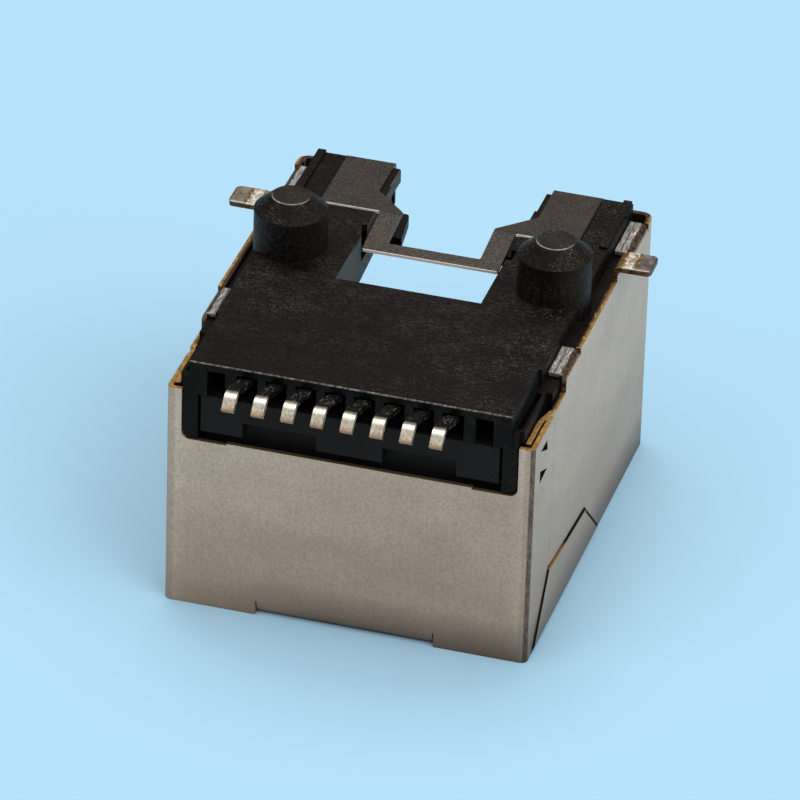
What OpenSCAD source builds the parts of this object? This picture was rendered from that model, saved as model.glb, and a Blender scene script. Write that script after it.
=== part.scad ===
// Shielded eight-way modular jack for surface mounting, drawn with its board side up.
// Lengths along Y are counted forwards from the back of the rear panel.

/* [Shell] */
// Width over the two side walls
shell_w = 15.9; // [15.8:0.1:17]
// Depth from the back of the rear panel to the front of the front panel
shell_d = 19.05; // [18.5:0.05:21]
// Height of the side walls and the front panel
wall_h = 11.35; // [11.1:0.05:11.6]
// Thickness of the sheet that the shell is folded from
sheet_t = 0.22; // [0.15:0.01:0.28]
// Outside radius of the upright folds
fold_r = 0.5; // [0.35:0.05:0.8]
// Outside radius of the fold between the rear panel and the flat panel
tail_fold_r = 0.6; // [0.4:0.05:0.9]
// Width of the fold between the rear panel and the flat panel
tail_fold_w = 7.7; // [5:0.1:10]
// Width of the relief slot beside a fold
relief_w = 0.05; // [0.02:0.01:0.4]
// Outside radius of the upright folds of the flaps
flap_fold_r = 0.3; // [0.26:0.02:0.6]
// How far the ears stand out from the side walls
ear_out = 0.08; // [0:0.01:0.12]
// Outside radius of the folds of the ears
ear_fold_r = 0.3; // [0.25:0.01:0.5]
// Slit left between two panels of the sheet that meet
seam_w = 0.09; // [0.05:0.01:0.15]

/* [Rear panel] */
// Height of the rear panel and its side flaps
rear_h = 10.4; // [9.5:0.05:10.6]
// Width of the window in the rear panel
window_w = 14.56; // [14.4:0.02:14.8]
// Height of the window's lower edge
window_z = 8.05; // [7:0.05:8.3]
// Radius of the window's lower corners
window_r = 0.35; // [0.1:0.05:0.6]
// Rise of the middle stretch of the window's lower edge
sill_rise = 0.08; // [0.02:0.01:0.15]
// Width of that middle stretch
sill_w = 10.6; // [6:0.1:13]
// Depth of the side flaps from the back of the rear panel
flap_d = 3.05; // [2.8:0.05:3.2]
// Radius of the upper free corner of a flap
flap_r = 0.2; // [0.1:0.05:0.8]
// Width of the pressed mark in a flap
mark_w = 1.1; // [0.6:0.1:1.6]
// Height of the pressed mark in a flap
mark_h = 1.55; // [1:0.05:2.2]
// Height of the middle of the pressed mark
mark_z = 9.04; // [7:0.01:9.3]
// Height of the opening above the pressed mark
mark_upper = 0.52; // [0.3:0.02:0.6]
// Height of the opening below the pressed mark
mark_lower = 0.58; // [0.3:0.02:0.7]
// Width of the blunt end of each opening
mark_end = 0.12; // [0.05:0.01:0.2]
// Distance of the pressed mark from the flap's free edge
mark_gap = 0.95; // [0.6:0.05:1.4]

/* [Side walls] */
// Height of the side walls behind their step
low_wall_h = 10.5; // [10:0.05:10.8]
// Distance of the step in the side walls from the rear
step_y = 4.8; // [4.4:0.05:5.2]
// Where a side wall starts to turn in behind the flap
jog_y = 3.3; // [3.2:0.05:3.8]
// Length of the turn
jog_l = 1.1; // [0.8:0.1:1.6]
// Radius of the turn's two bends, along the middle of the sheet
jog_r = 1; // [0.5:0.1:2]
// Height of the ear that the flat panel sends up the side wall
ear_h = 2.93; // [1.5:0.01:4]
// Drop of the ear's upper edge towards the front
ear_drop = 0.5; // [0:0.05:0.8]
// Rear end of the ear's foot
ear_y = 0.78; // [0.7:0.02:1.5]
// Length of the ear's foot
ear_l = 10.7; // [8:0.1:14]
// Length of the ear's sloping rear edge along Y
ear_rake = 2.2; // [1.5:0.1:3]
// Length of the ear's sloping front edge along Y
ear_front_rake = 2.6; // [1.5:0.1:3]

/* [Shell tabs] */
// Reach of the inner tabs from the outside of the wall
inner_tab_reach = 0.8; // [0.6:0.05:0.8]
// Length of the rear pair of inner tabs
near_tab_l = 2.15; // [1.5:0.1:3]
// Length of the front pair of inner tabs
far_tab_l = 2.6; // [1.5:0.1:3]
// Distance of the front pair of inner tabs from the front
far_tab_gap = 1.0; // [0.7:0.05:1.2]
// Outside radius of the inner tabs' folds
inner_tab_r = 0.36; // [0.3:0.01:0.45]
// Reach of the soldering tabs from the outside of the wall
solder_reach = 1.42; // [1:0.01:2]
// Length of a soldering tab along the wall
solder_l = 1.45; // [1:0.05:2]
// Distance of the soldering tabs' middle from the rear
solder_y = 13.62; // [12:0.02:14]
// Height of the board's face, where the feet and soldering tabs end
board_z = 12.05; // [11.95:0.01:12.3]
// Radius of the soldering tabs' bend, along the middle of the sheet
solder_bend_r = 0.26; // [0.2:0.02:0.4]
// Height of the soldering tabs' upright part inside the wall
solder_root = 0.4; // [0.2:0.05:0.8]
// Radius of the soldering tabs' corners
solder_r = 0.25; // [0.1:0.05:0.5]

/* [Plug cavity] */
// Width of the plug cavity
plug_w = 11.8; // [11.6:0.05:12]
// Height of the plug cavity
plug_h = 6.7; // [6.6:0.05:6.9]
// Height of the cavity's floor
plug_z = 2.9; // [2.8:0.05:3]
// Depth of the cavity from the front of the shell
plug_d = 12.45; // [11.8:0.05:12.8]
// Width of the latch channel
latch_w = 6.4; // [6.2:0.02:6.6]
// Length of the latch channel from the front of the shell
latch_l = 10.65; // [10:0.05:11]
// Clearance of the front panel's opening round the cavity
mouth_gap = 0.08; // [0.02:0.01:0.15]
// Width of the front panel's opening over the latch channel
mouth_latch_w = 8.3; // [6.8:0.1:8.6]
// Extra width of the latch channel in front of its catches, on each side
latch_front_gap = 0.1; // [0:0.01:0.2]
// Width left between the two latch catches at their rear end
catch_gap = 4.22; // [4:0.02:5]
// Widening of that space towards the front on each side
catch_flare = 0.25; // [0:0.05:0.5]
// Length of a latch catch
catch_l = 2.1; // [1.5:0.1:3]
// Distance of the latch catches from the front of the shell
catch_y = 2.2; // [1.5:0.05:2.5]
// Thickness of a latch catch
catch_t = 0.5; // [0.3:0.02:0.7]
// Height of a latch catch's underside over the cavity
catch_rise = 0.45; // [0.3:0.05:0.6]
// Thickness of the channel's lips in front of the catches
lip_front_t = 0.83; // [0.6:0.01:1]
// Half width of the relief under the lips
lip_relief_half = 4.5; // [4:0.1:5]
// Width of the small pockets in the channel's upper edges
pocket_w = 0.24; // [0.1:0.02:0.4]
// Length of those pockets
pocket_l = 0.85; // [0.4:0.05:1.2]
// Distance of those pockets behind the clip's pads
pocket_gap = 1.3; // [0.8:0.05:1.6]
// Radius of the catches' front corners
catch_r = 0.2; // [0.1:0.05:0.4]
// Length of the relief under the channel's lips behind the catches
relief_l = 5.2; // [3:0.1:6]
// Height of that relief over the cavity
relief_rise = 0.25; // [0.1:0.05:0.4]

/* [Housing] */
// Height of the housing's face on the board side
top_z = 11.88; // [11.75:0.01:11.95]
// Clearance between the housing and the shell round it
shell_gap = 0.05; // [0.02:0.01:0.1]
// Distance in front of the walls' turn at which the housing grows to its full width
split_gap = 0.35; // [0.3:0.05:0.5]
// How far the housing's upper edge stands out of the rear window
lip_out = 0.05; // [0:0.01:0.2]
// Distance of the comb's ends from the sides of the window
comb_inset = 0.33; // [0.3:0.01:0.6]
// Clearance between the board side face and the ends of the inner tabs
tab_gap = 0.05; // [0.03:0.01:0.2]
// Depth of the comb part of the board side face
comb_d = 4; // [3.9:0.05:4.4]
// Height of the ledges beside the board side face
ledge_z = 11.05; // [10.8:0.01:11.08]
// Thickness of the thin wall outside the groove in the rear ledges
groove_wall = 0.15; // [0.1:0.01:0.25]
// Depth of the groove in the rear ledges
groove_d = 0.5; // [0.2:0.05:0.8]
// Distance of the groove's ends from those of the ledge
groove_end = 0.15; // [0.1:0.05:0.5]
// Distance of the small ribs beside the clip from the edge of the deck
rib_inset = 0.05; // [0.03:0.01:0.3]
// Width of the small ribs beside the clip
rib_w = 0.36; // [0.2:0.02:0.5]
// Height of those ribs over the board side face
rib_h = 0.13; // [0.05:0.01:0.16]
// Length of those ribs
rib_l = 4.2; // [3:0.1:4.4]

/* [Pegs] */
// Diameter of the locating pegs
peg_d = 3.17; // [2.8:0.01:3.3]
// Distance between the two pegs
peg_spacing = 11.62; // [10.5:0.02:11.8]
// Distance of the pegs from the rear
peg_y = 10.45; // [9.5:0.05:10.6]
// Height of the pegs over the board side face, up to their coned tip
peg_h = 1.81; // [1.2:0.01:2.2]
// Spread of the pegs' foot down to the ledges
peg_spread = 0.03; // [0.01:0.01:0.08]
// Height to which that spread foot rises over the board side face
peg_foot_h = 0.06; // [0.05:0.01:0.15]
// Height of the pegs' coned tip
peg_tip_h = 0.65; // [0.3:0.05:1]
// Diameter of the flat end of the tip
peg_tip_d = 1.66; // [1:0.02:2.4]

/* [Contacts] */
// Number of contacts
contacts = 8; // [4:2:8]
// Pitch of the feet
foot_pitch = 1.27; // [1.2:0.01:1.3]
// Pitch of the spring arms in the cavity
arm_pitch = 1.02; // [0.9:0.01:1.1]
// Width of a contact strip
contact_w = 0.52; // [0.35:0.01:0.6]
// Thickness of a contact strip
contact_t = 0.25; // [0.15:0.01:0.3]
// Reach of the feet behind the rear panel
foot_reach = 2.84; // [2.4:0.02:3.2]
// Slope of the turned-down end of a foot
toe_angle = 45; // [20:1:60]
// Length of the turned-down end
toe_l = 0.68; // [0.4:0.02:0.9]
// Length of the flat crest that is soldered
crest_l = 0.45; // [0.3:0.05:0.8]
// Radius of the bend at the toe, along the middle of the strip like the radii below
toe_r = 0.35; // [0.2:0.05:0.5]
// Radius of the bend behind the crest
crest_r = 0.5; // [0.3:0.05:0.7]
// Radius of the bend at the foot of the slope
slope_r = 0.8; // [0.4:0.05:1]
// Height of a contact's middle where it enters the housing
run_z = 10.9; // [10.7:0.02:11]
// Distance from the rear at which the sloping part of a foot ends
slope_y = 1.3; // [0.8:0.1:1.6]
// Distance of the upright part from the rear
drop_y = 3.45; // [3:0.05:3.6]
// Height at which the upright part starts to step from the feet's pitch to the arms'
jog_top = 8; // [6:0.1:8.5]
// Height at which it has reached the arms' pitch
jog_low = 5; // [3.5:0.1:5.5]
// Radius of the two bends at the ends of the upright part
drop_r = 0.4; // [0.3:0.05:0.5]
// Distance of the upright part's ends from the straight runs' middle
drop_end = 0.9; // [0.6:0.05:1]
// Height of a contact's middle under the cavity
base_z = 1.1; // [1.05:0.01:1.2]
// Distance of the contacts' front turn from the rear
turn_y = 13.9; // [13:0.1:14]
// Height of the front turn
turn_h = 1.65; // [1.5:0.05:1.8]
// Radius of the bend at the foot of the front turn
turn_r = 0.72; // [0.4:0.02:0.8]
// Clearance in front of that turn
turn_gap = 0.3; // [0.1:0.05:0.5]
// Rise of the spring arm
arm_rise = 2.05; // [1.5:0.05:2.4]
// Radius of the bend between the turn and the spring arm
arm_root_r = 0.6; // [0.4:0.05:0.8]
// Radius of the arm's bend
arm_bend_r = 0.8; // [0.5:0.1:1.2]
// Length of the spring arm up to its bend
arm_l = 5.7; // [5:0.1:6]
// Length of the arm's end past its bend
tip_l = 2.1; // [1.7:0.1:2.4]
// Fall of the arm's end past its bend
tip_fall = 0.25; // [0:0.05:0.5]

/* [Contact insert] */
// Half width of the insert that holds the contacts
insert_half = 6.45; // [6.2:0.05:6.5]
// Height of the insert's upper face
insert_top = 10.27; // [10.1:0.01:10.4]
// Clearance round the insert at its sides
insert_gap = 0.12; // [0.05:0.01:0.15]
// Distance of the insert's back from the rear
insert_y = 0.03; // [0:0.01:0.1]
// Height of the insert's back flange
flange_h = 1.72; // [1.2:0.02:2]
// Depth of the step under the flange
flange_d = 0.6; // [0.4:0.05:1]
// Width of the two recesses in the flange
recess_w = 3.2; // [2:0.1:3.6]
// Height of the two recesses in the flange
recess_h = 0.7; // [0.3:0.05:1]
// Distance of the recesses' middle from the centre
recess_x = 3.02; // [2.4:0.02:3.6]
// Clearance round a contact in the insert
contact_gap = 0.03; // [0.01:0.01:0.06]
// Width of the tongue beside the outer arms
tongue_side = 0.6; // [0.4:0.05:0.8]
// Distance of the tongue's front from the contacts' front turn
tongue_gap = 0.9; // [0.7:0.05:1.2]
// Thickness of the tongue over the contacts
tongue_t = 0.95; // [0.6:0.05:1.1]
// Width of the slots that guide the arms' ends
guide_w = 0.66; // [0.6:0.01:0.7]
// Height of the slots that guide the arms' ends
guide_h = 2.9; // [2.4:0.1:3.4]
// Depth of the slots that guide the arms' ends
guide_d = 1.1; // [0.9:0.05:1.4]

/* [Rear comb] */
// Width of a comb slot round a contact
slot_w = 0.9; // [0.8:0.01:1]
// Width of the empty slot at each end of the comb
end_slot_w = 0.78; // [0.5:0.02:0.9]
// Rib between the end slot and its neighbour
end_rib_w = 0.5; // [0.4:0.02:0.7]
// Thickness of the lip over the slots
lip_t = 0.34; // [0.3:0.01:0.5]
// Depth of the end slots
end_slot_d = 1.6; // [1:0.1:3]
// Length of the comb slots in front of the contacts' upright part
slot_end = 0.3; // [0.2:0.05:0.5]

/* [Clip] */
// Thickness of the clip's sheet
clip_t = 0.12; // [0.08:0.01:0.16]
// Distance between the outer edges of the two pads
clip_w = 11.56; // [11:0.02:11.6]
// Width of a pad
pad_w = 2.22; // [1.8:0.02:2.4]
// Length of a pad up to the fold
pad_l = 4.2; // [4:0.05:4.4]
// Distance between the outer edges of the legs
leg_span = 6.02; // [5.4:0.02:6.1]
// Width of a leg
leg_w = 0.96; // [0.6:0.01:1.1]
// Length of the legs and the bridge behind the pads
leg_l = 2.75; // [2:0.05:3]
// Width of the bridge that joins the legs
bridge_w = 0.66; // [0.6:0.02:1.2]
// Drop of the bridge into the latch channel
bridge_drop = 0.36; // [0:0.02:0.6]
// Length along Y of the slanted edge inside each pad
slant_l = 1.5; // [1:0.1:2]
// Distance of the slanted edge's rear end from the pads' rear edge
slant_gap = 0.2; // [0:0.05:0.5]
// Radius of the corners of the clip's outline
clip_corner_r = 0.1; // [0.05:0.01:0.15]
// Radius of the slight bend at the rear of the pads
clip_bend_r = 0.5; // [0.3:0.1:1]
// Depth of the shallow seat under the pads
seat_d = 0.1; // [0.06:0.01:0.2]
// Length of that seat behind the pads
seat_rear = 0.1; // [0.05:0.05:0.2]
// Height of the clip's front flange
clip_flange_h = 2; // [1:0.1:3]
// Outside radius of the clip's fold
clip_r = 0.2; // [0.16:0.02:0.4]
// Clearance in front of and behind the clip's flange
clip_gap = 0.03; // [0.01:0.01:0.06]

/* [Hidden] */
$fn = 48;
ARC_STEPS = 6;     // straight pieces in one rounded corner of a path
REACH = 30;        // length that carries a cut past the whole part
LAP = 0.05;        // overlap of two solids that are fused
OVER = 1;          // length by which a cut or a run goes past what it meets
METAL = [0.70, 0.67, 0.63];
PLASTIC = [0.09, 0.09, 0.10];
CLIP_METAL = [0.36, 0.33, 0.30];
TIN = [0.86, 0.83, 0.77];

// Middle of the overall depth, which becomes Y = 0
mid_y = (shell_d - foot_reach) / 2;
wall_x = shell_w / 2;                        // outside of a side wall
sheet_x = wall_x - sheet_t / 2;              // middle of its sheet
ear_x = sheet_x + ear_out;                   // middle of an ear's sheet
inner_x = wall_x - sheet_t;                  // inside of a side wall
inset_x = sheet_x - sheet_t - shell_gap;     // middle of the wall where it runs behind the flap
front_y = shell_d - sheet_t;                 // inside of the front panel
body_z = sheet_t + shell_gap;                // underside of the housing
body_half = inner_x - shell_gap;             // half width of the housing
rear_half = inset_x - sheet_t / 2 - shell_gap;  // half width of the housing behind the jog
rear_y = sheet_t + 2 * shell_gap;            // back of the housing below the window
body_front = front_y - 2 * clip_gap - clip_t;   // front of the housing
comb_half = window_w / 2 - comb_inset;       // half width of the board side face beside the comb
deck_half = wall_x - inner_tab_reach - tab_gap;  // half width of that face in front of the comb
plug_top = plug_z + plug_h;
cavity_y = shell_d - plug_d;                 // rear end of the cavity
latch_y = shell_d - latch_l;                 // rear end of the latch channel
base_low = base_z - contact_t / 2;           // underside of the tongue and of the contacts' run
pocket_z = base_low - shell_gap;             // floor of the insert's pocket
pocket_half = insert_half + insert_gap;
pocket_top = insert_top + insert_gap / 2;
insert_front = cavity_y - shell_gap;
arm_half = (contacts - 1) / 2 * arm_pitch + contact_w / 2;
tongue_half = arm_half + tongue_side;
tongue_front = turn_y - contact_t / 2 - tongue_gap;
tongue_top = base_z + contact_t / 2 + tongue_t;
pad_near = body_front - pad_l;               // rear edge of the clip's pads
near_tab_y = step_y + relief_w;              // rear end of the rear inner tabs
far_tab_y = shell_d - far_tab_gap - far_tab_l;   // rear end of the front inner tabs
split_y = jog_y + split_gap;                 // where the housing grows to its full width
clip_z = top_z - seat_d + clip_t / 2;        // middle of the clip's sheet on its seat

// Unit vector along v
function unit(v) = v / norm(v);
// List in the opposite order
function backwards(list) = [for (i = [len(list) - 1 : -1 : 0]) list[i]];
// Points of an arc of radius r that rounds the corner b between a and c
function rounded(a, b, c, r) =
    let (u = unit(a - b), w = unit(c - b), half = acos(u * w) / 2,
         centre = b + unit(u + w) * r / sin(half),
         start = b + u * r / tan(half) - centre, stop = b + w * r / tan(half) - centre,
         from = atan2(start.y, start.x), turn = (atan2(stop.y, stop.x) - from + 540) % 360 - 180)
    [for (k = [0 : ARC_STEPS]) let (angle = from + turn * k / ARC_STEPS)
        centre + r * [cos(angle), sin(angle)]];
// Open path through pts whose inner corners have the given radii
function path(pts, radii) = concat([pts[0]],
    [for (i = [1 : len(pts) - 2]) each rounded(pts[i - 1], pts[i], pts[i + 1], radii[i - 1])],
    [pts[len(pts) - 1]]);
// Closed outline whose corners all have the radius r
function loop(pts, r) = let (n = len(pts))
    [for (i = [0 : n - 1]) each rounded(pts[(i + n - 1) % n], pts[i], pts[(i + 1) % n], r)];
// The path moved sideways by d, to its left where d is positive
function beside(line, d) = [for (i = [0 : len(line) - 1])
    let (last = len(line) - 1, ahead = unit(line[min(i + 1, last)] - line[min(i, last - 1)]),
         behind = unit(line[max(i, 1)] - line[max(i - 1, 0)]),
         n = unit([-ahead.y - behind.y, ahead.x + behind.x]))
    line[i] + n * d / (n * [-ahead.y, ahead.x])];
// Rectangle from its corners
function rect(x0, y0, x1, y1) = [[x0, y0], [x1, y0], [x1, y1], [x0, y1]];

// Strip of thickness t along a path
module ribbon(line, t) {
    polygon(concat(beside(line, t / 2), backwards(beside(line, -t / 2))));
}
// Extrudes a Y-Z profile across X, from x0 to x1
module across(x0, x1) {
    translate([x0, 0, 0]) rotate([90, 0, 90]) linear_extrude(x1 - x0) children();
}
// Extrudes an X-Z profile along Y, from y0 to y1
module along(y0, y1) {
    translate([0, y1, 0]) rotate([90, 0, 0]) linear_extrude(y1 - y0) children();
}
// Box from its lowest to its highest corner
module block(low, high) {
    translate(low) cube(high - low);
}
// Block that is mirrored about X = 0 and spans it
module centred(half, low, high) {
    block([-half, low.x, low.y], [half, high.x, high.y]);
}
// The child and its mirror image
module both_sides() {
    children();
    mirror([1, 0, 0]) children();
}
// Moves a sub-part into the common frame
module placed() {
    translate([0, -mid_y, 0]) children();
}

// ---- Shell -------------------------------------------------------------------------------

// Outline of an ear in Y and Z, widened by g
module ear_outline(g) {
    ear = [[ear_y, 0], [ear_y + ear_rake, ear_h],
           [ear_y + ear_l - ear_front_rake, ear_h - ear_drop],
           [ear_y + ear_l, 0]];
    polygon(beside(ear, g));
}
// Front panel and side walls, folded from one strip
module wall_ring() {
    turn_in = jog_y - jog_l;
    plan = path([[inset_x, rear_y], [inset_x, turn_in], [sheet_x, jog_y],
                 [sheet_x, shell_d - sheet_t / 2], [-sheet_x, shell_d - sheet_t / 2],
                 [-sheet_x, jog_y], [-inset_x, turn_in], [-inset_x, rear_y]],
                [jog_r, jog_r, fold_r - sheet_t / 2, fold_r - sheet_t / 2, jog_r, jog_r]);
    linear_extrude(wall_h) ribbon(plan, sheet_t);
}
// Rear panel with its two side flaps
module rear_strip() {
    mid = sheet_t / 2;
    plan = path([[sheet_x, flap_d], [sheet_x, mid], [-sheet_x, mid], [-sheet_x, flap_d]],
                [flap_fold_r - mid, flap_fold_r - mid]);
    linear_extrude(rear_h) ribbon(plan, sheet_t);
}
// Window of the rear panel, open at the top
module window_cut() {
    half = window_w / 2;
    along(-OVER, fold_r) {
        polygon(path([[-half, REACH], [-half, window_z], [half, window_z], [half, REACH]],
                     [window_r, window_r]));
    }
}
// Lower edge of the window, which is higher in the middle
module window_sill() {
    block([-sill_w / 2, 0, window_z - LAP], [sill_w / 2, sheet_t, window_z + sill_rise]);
}
// Rear panel cut to its outline, with the relief beside its fold
module rear_panel() {
    relief = tail_fold_w / 2 + relief_w;
    difference() {
        rear_strip();
        window_cut();
        block([-relief, -OVER, -OVER], [relief, fold_r, tail_fold_r + relief_w]);
        both_sides() across(inner_x - LAP, wall_x + LAP) {
            ear_outline(seam_w / 2);
            flap_corner();
            flap_mark();
        }
    }
    window_sill();
    block([-tail_fold_w / 2, 0, tail_fold_r - LAP],
          [tail_fold_w / 2, sheet_t, tail_fold_r + relief_w + LAP]);
}
// What rounds the upper free corner of a flap
module flap_corner() {
    polygon(concat(rounded([0, rear_h], [flap_d, rear_h], [flap_d, 0], flap_r),
                   [[flap_d + LAP, rear_h - flap_r], [flap_d + LAP, rear_h + LAP],
                    [flap_d - flap_r, rear_h + LAP]]));
}
// Two small openings left by the pressed mark in a flap
module flap_mark() {
    far = flap_d - mark_gap;
    near = far - mark_w;
    high = mark_z + mark_h / 2;
    low = mark_z - mark_h / 2;
    polygon([[near, high], [far - mark_end, high], [far, high - mark_upper]]);
    polygon([[near, low], [far, low + mark_end], [near, low + mark_lower]]);
}
// Flat panel with the folds that join it to the rear and front panels
module flat_panel() {
    mid = sheet_t / 2;
    front_mid = shell_d - mid;
    across(-tail_fold_w / 2, tail_fold_w / 2) {
        ribbon(path([[mid, tail_fold_r + LAP], [mid, mid], [tail_fold_r + OVER, mid]],
                    [tail_fold_r - mid]), sheet_t);
    }
    across(-inner_x + fold_r, inner_x - fold_r) {
        ribbon(path([[front_mid - fold_r - OVER, mid], [front_mid, mid], [front_mid, fold_r + LAP]],
                    [fold_r - mid]), sheet_t);
    }
    centred(inner_x - seam_w, [rear_y, 0], [shell_d - fold_r, sheet_t]);
}
// Ear that the flat panel sends up into the side wall
module ear() {
    mid = sheet_t / 2;
    intersection() {
        along(0, ear_y + ear_l + OVER) {
            ribbon(path([[inner_x - ear_fold_r - OVER, mid], [ear_x, mid], [ear_x, ear_h + OVER]],
                        [ear_fold_r - mid]), sheet_t);
        }
        across(0, wall_x + OVER) {
            ear_outline(-seam_w / 2);
        }
    }
}
// Tab folded inwards from the top of a side wall
module inner_tab(y0, length) {
    mid = sheet_t / 2;
    top = wall_h - mid;
    end_x = wall_x - inner_tab_reach;
    along(y0, y0 + length) {
        ribbon(path([[sheet_x, wall_h - inner_tab_r - LAP], [sheet_x, top], [end_x, top]],
                    [inner_tab_r - mid]), sheet_t);
    }
}
// Clears the top of a side wall for an inner tab
module inner_tab_cut(y0, length) {
    block([inner_x - OVER, y0 - relief_w, wall_h - inner_tab_r],
          [wall_x + OVER, y0 + length + relief_w, wall_h + OVER]);
}
// Tab folded outwards to be soldered to the board
module solder_tab() {
    mid = sheet_t / 2;
    end_x = wall_x + solder_reach;
    y0 = solder_y - solder_l / 2;
    y1 = solder_y + solder_l / 2;
    intersection() {
        along(y0, y1) {
            ribbon(path([[sheet_x, wall_h - solder_root], [sheet_x, board_z - mid], [end_x, board_z - mid]],
                        [solder_bend_r]), sheet_t);
        }
        linear_extrude(board_z + OVER) {
            polygon(loop(rect(0, y0, end_x, y1), solder_r));
        }
    }
}
// Opening for the plug and its latch in the front panel
module mouth_cut() {
    half = plug_w / 2 + mouth_gap;
    centred(half, [front_y - OVER, plug_z - mouth_gap], [shell_d + OVER, plug_top + mouth_gap]);
    centred(mouth_latch_w / 2, [front_y - OVER, plug_top], [shell_d + OVER, wall_h + OVER]);
}
module shield_shell() {
    color(METAL) placed() {
        difference() {
            wall_ring();
            both_sides() block([inner_x - OVER, -OVER, low_wall_h], [wall_x + OVER, step_y, wall_h + OVER]);
            both_sides() across(inner_x - LAP, wall_x + LAP) ear_outline(seam_w / 2);
            both_sides() inner_tab_cut(near_tab_y, near_tab_l);
            both_sides() inner_tab_cut(far_tab_y, far_tab_l);
            block([-inner_x + fold_r, front_y - OVER, -OVER], [inner_x - fold_r, shell_d + OVER, fold_r]);
            mouth_cut();
        }
        rear_panel();
        flat_panel();
        both_sides() {
            ear();
            inner_tab(near_tab_y, near_tab_l);
            inner_tab(far_tab_y, far_tab_l);
            solder_tab();
        }
    }
}

// ---- Contacts ----------------------------------------------------------------------------

// Middle line of a foot and of the run into the insert, in Y and Z
function upper_line() =
    let (toe_y = -foot_reach + contact_t / 2 * sin(toe_angle), crest_z = board_z - contact_t / 2,
         crest_y = toe_y + toe_l * cos(toe_angle))
    path([[toe_y, crest_z - toe_l * sin(toe_angle)], [crest_y, crest_z], [crest_y + crest_l, crest_z],
          [slope_y, run_z], [drop_y, run_z], [drop_y, run_z - OVER]],
         [toe_r, crest_r, slope_r, drop_r]);
// Middle line of the base run, the front turn and the spring arm
function lower_line() =
    let (turn_z = base_z + turn_h, bend_y = turn_y - arm_l, bend_z = turn_z + arm_rise)
    path([[drop_y, base_z + OVER], [drop_y, base_z], [turn_y, base_z], [turn_y, turn_z], [bend_y, bend_z],
          [bend_y - tip_l, bend_z - tip_fall]], [drop_r, turn_r, arm_root_r, arm_bend_r]);
// Contact number i, all its faces moved out by g
module contact_form(i, g) {
    foot_x = (i - (contacts + 1) / 2) * foot_pitch;
    arm_x = (i - (contacts + 1) / 2) * arm_pitch;
    half = contact_w / 2 + g;
    top = run_z - drop_end;
    low = base_z + drop_end;
    across(foot_x - half, foot_x + half) ribbon(upper_line(), contact_t + 2 * g);
    across(arm_x - half, arm_x + half) ribbon(lower_line(), contact_t + 2 * g);
    along(drop_y - contact_t / 2 - g, drop_y + contact_t / 2 + g) {
        ribbon([[foot_x, top], [foot_x, jog_top], [arm_x, jog_low], [arm_x, low]], contact_w + 2 * g);
    }
}
module contact(i) {
    if (i <= contacts) {
        color(TIN) placed() contact_form(i, 0);
    }
}
module contact_1() contact(1);
module contact_2() contact(2);
module contact_3() contact(3);
module contact_4() contact(4);
module contact_5() contact(5);
module contact_6() contact(6);
module contact_7() contact(7);
module contact_8() contact(8);

// ---- Insert ------------------------------------------------------------------------------

module insert_body() {
    flange_z = insert_top - flange_h;
    centred(insert_half, [insert_y, flange_z], [insert_front, insert_top]);
    centred(insert_half, [insert_y + flange_d, base_low], [insert_front, insert_top]);
    centred(tongue_half, [insert_front - OVER, base_low], [tongue_front, tongue_top]);
}
module flange_recesses() {
    low = insert_top - flange_h - OVER;
    high = insert_top - flange_h + recess_h;
    both_sides() block([recess_x - recess_w / 2, insert_y - OVER, low],
                       [recess_x + recess_w / 2, insert_y + flange_d, high]);
}
module guide_slots() {
    tip_z = base_z + turn_h + arm_rise;
    for (i = [1 : contacts]) {
        x = (i - (contacts + 1) / 2) * arm_pitch;
        block([x - guide_w / 2, insert_front - guide_d, tip_z - guide_h / 2],
              [x + guide_w / 2, insert_front + OVER, tip_z + guide_h / 2]);
    }
}
module contact_insert() {
    color(PLASTIC) placed() {
        difference() {
            insert_body();
            flange_recesses();
            guide_slots();
            for (i = [1 : contacts]) {
                contact_form(i, contact_gap);
            }
        }
    }
}

// ---- Housing -----------------------------------------------------------------------------

// Lower body of the housing, rounded where the shell is folded
module lower_body() {
    inner_r = fold_r - sheet_t;
    intersection() {
        translate([0, 0, body_z]) linear_extrude(ledge_z - body_z) {
            polygon(loop(rect(-body_half, split_y - OVER, body_half, body_front), inner_r));
        }
        across(-body_half, body_half) {
            polygon(loop(rect(split_y - OVER, body_z, body_front, REACH), inner_r));
        }
        along(split_y, body_front) {
            polygon(loop(rect(-body_half, body_z, body_half, REACH), inner_r));
        }
    }
    intersection() {
        centred(rear_half, [rear_y, body_z], [split_y + LAP, ledge_z]);
        across(-rear_half, rear_half) {
            polygon(loop(rect(rear_y, body_z, REACH, REACH), tail_fold_r - sheet_t));
        }
    }
}
// Outside of the housing, up to the board side face
module housing_body() {
    plate_half = window_w / 2 - shell_gap;
    plate_z = window_z + sill_rise + shell_gap;
    lower_body();
    along(insert_y, rear_y + LAP) {
        polygon(path([[-plate_half, ledge_z], [-plate_half, plate_z],
                      [plate_half, plate_z], [plate_half, ledge_z]], [window_r, window_r]));
    }
    centred(comb_half, [-lip_out, pocket_top], [comb_d + LAP, top_z]);
    centred(deck_half, [comb_d, pocket_top], [body_front, top_z]);
}
// Locating peg with a coned tip and a slightly spread foot
module peg() {
    foot_z = ledge_z - LAP;
    wall_z = top_z + peg_foot_h;
    translate([peg_spacing / 2, peg_y, 0]) {
        translate([0, 0, foot_z]) cylinder(h = wall_z - foot_z, d1 = peg_d + 2 * peg_spread, d2 = peg_d);
        translate([0, 0, wall_z]) cylinder(h = peg_h - peg_foot_h, d = peg_d);
        translate([0, 0, top_z + peg_h]) cylinder(h = peg_tip_h, d1 = peg_d, d2 = peg_tip_d);
    }
}
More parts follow.
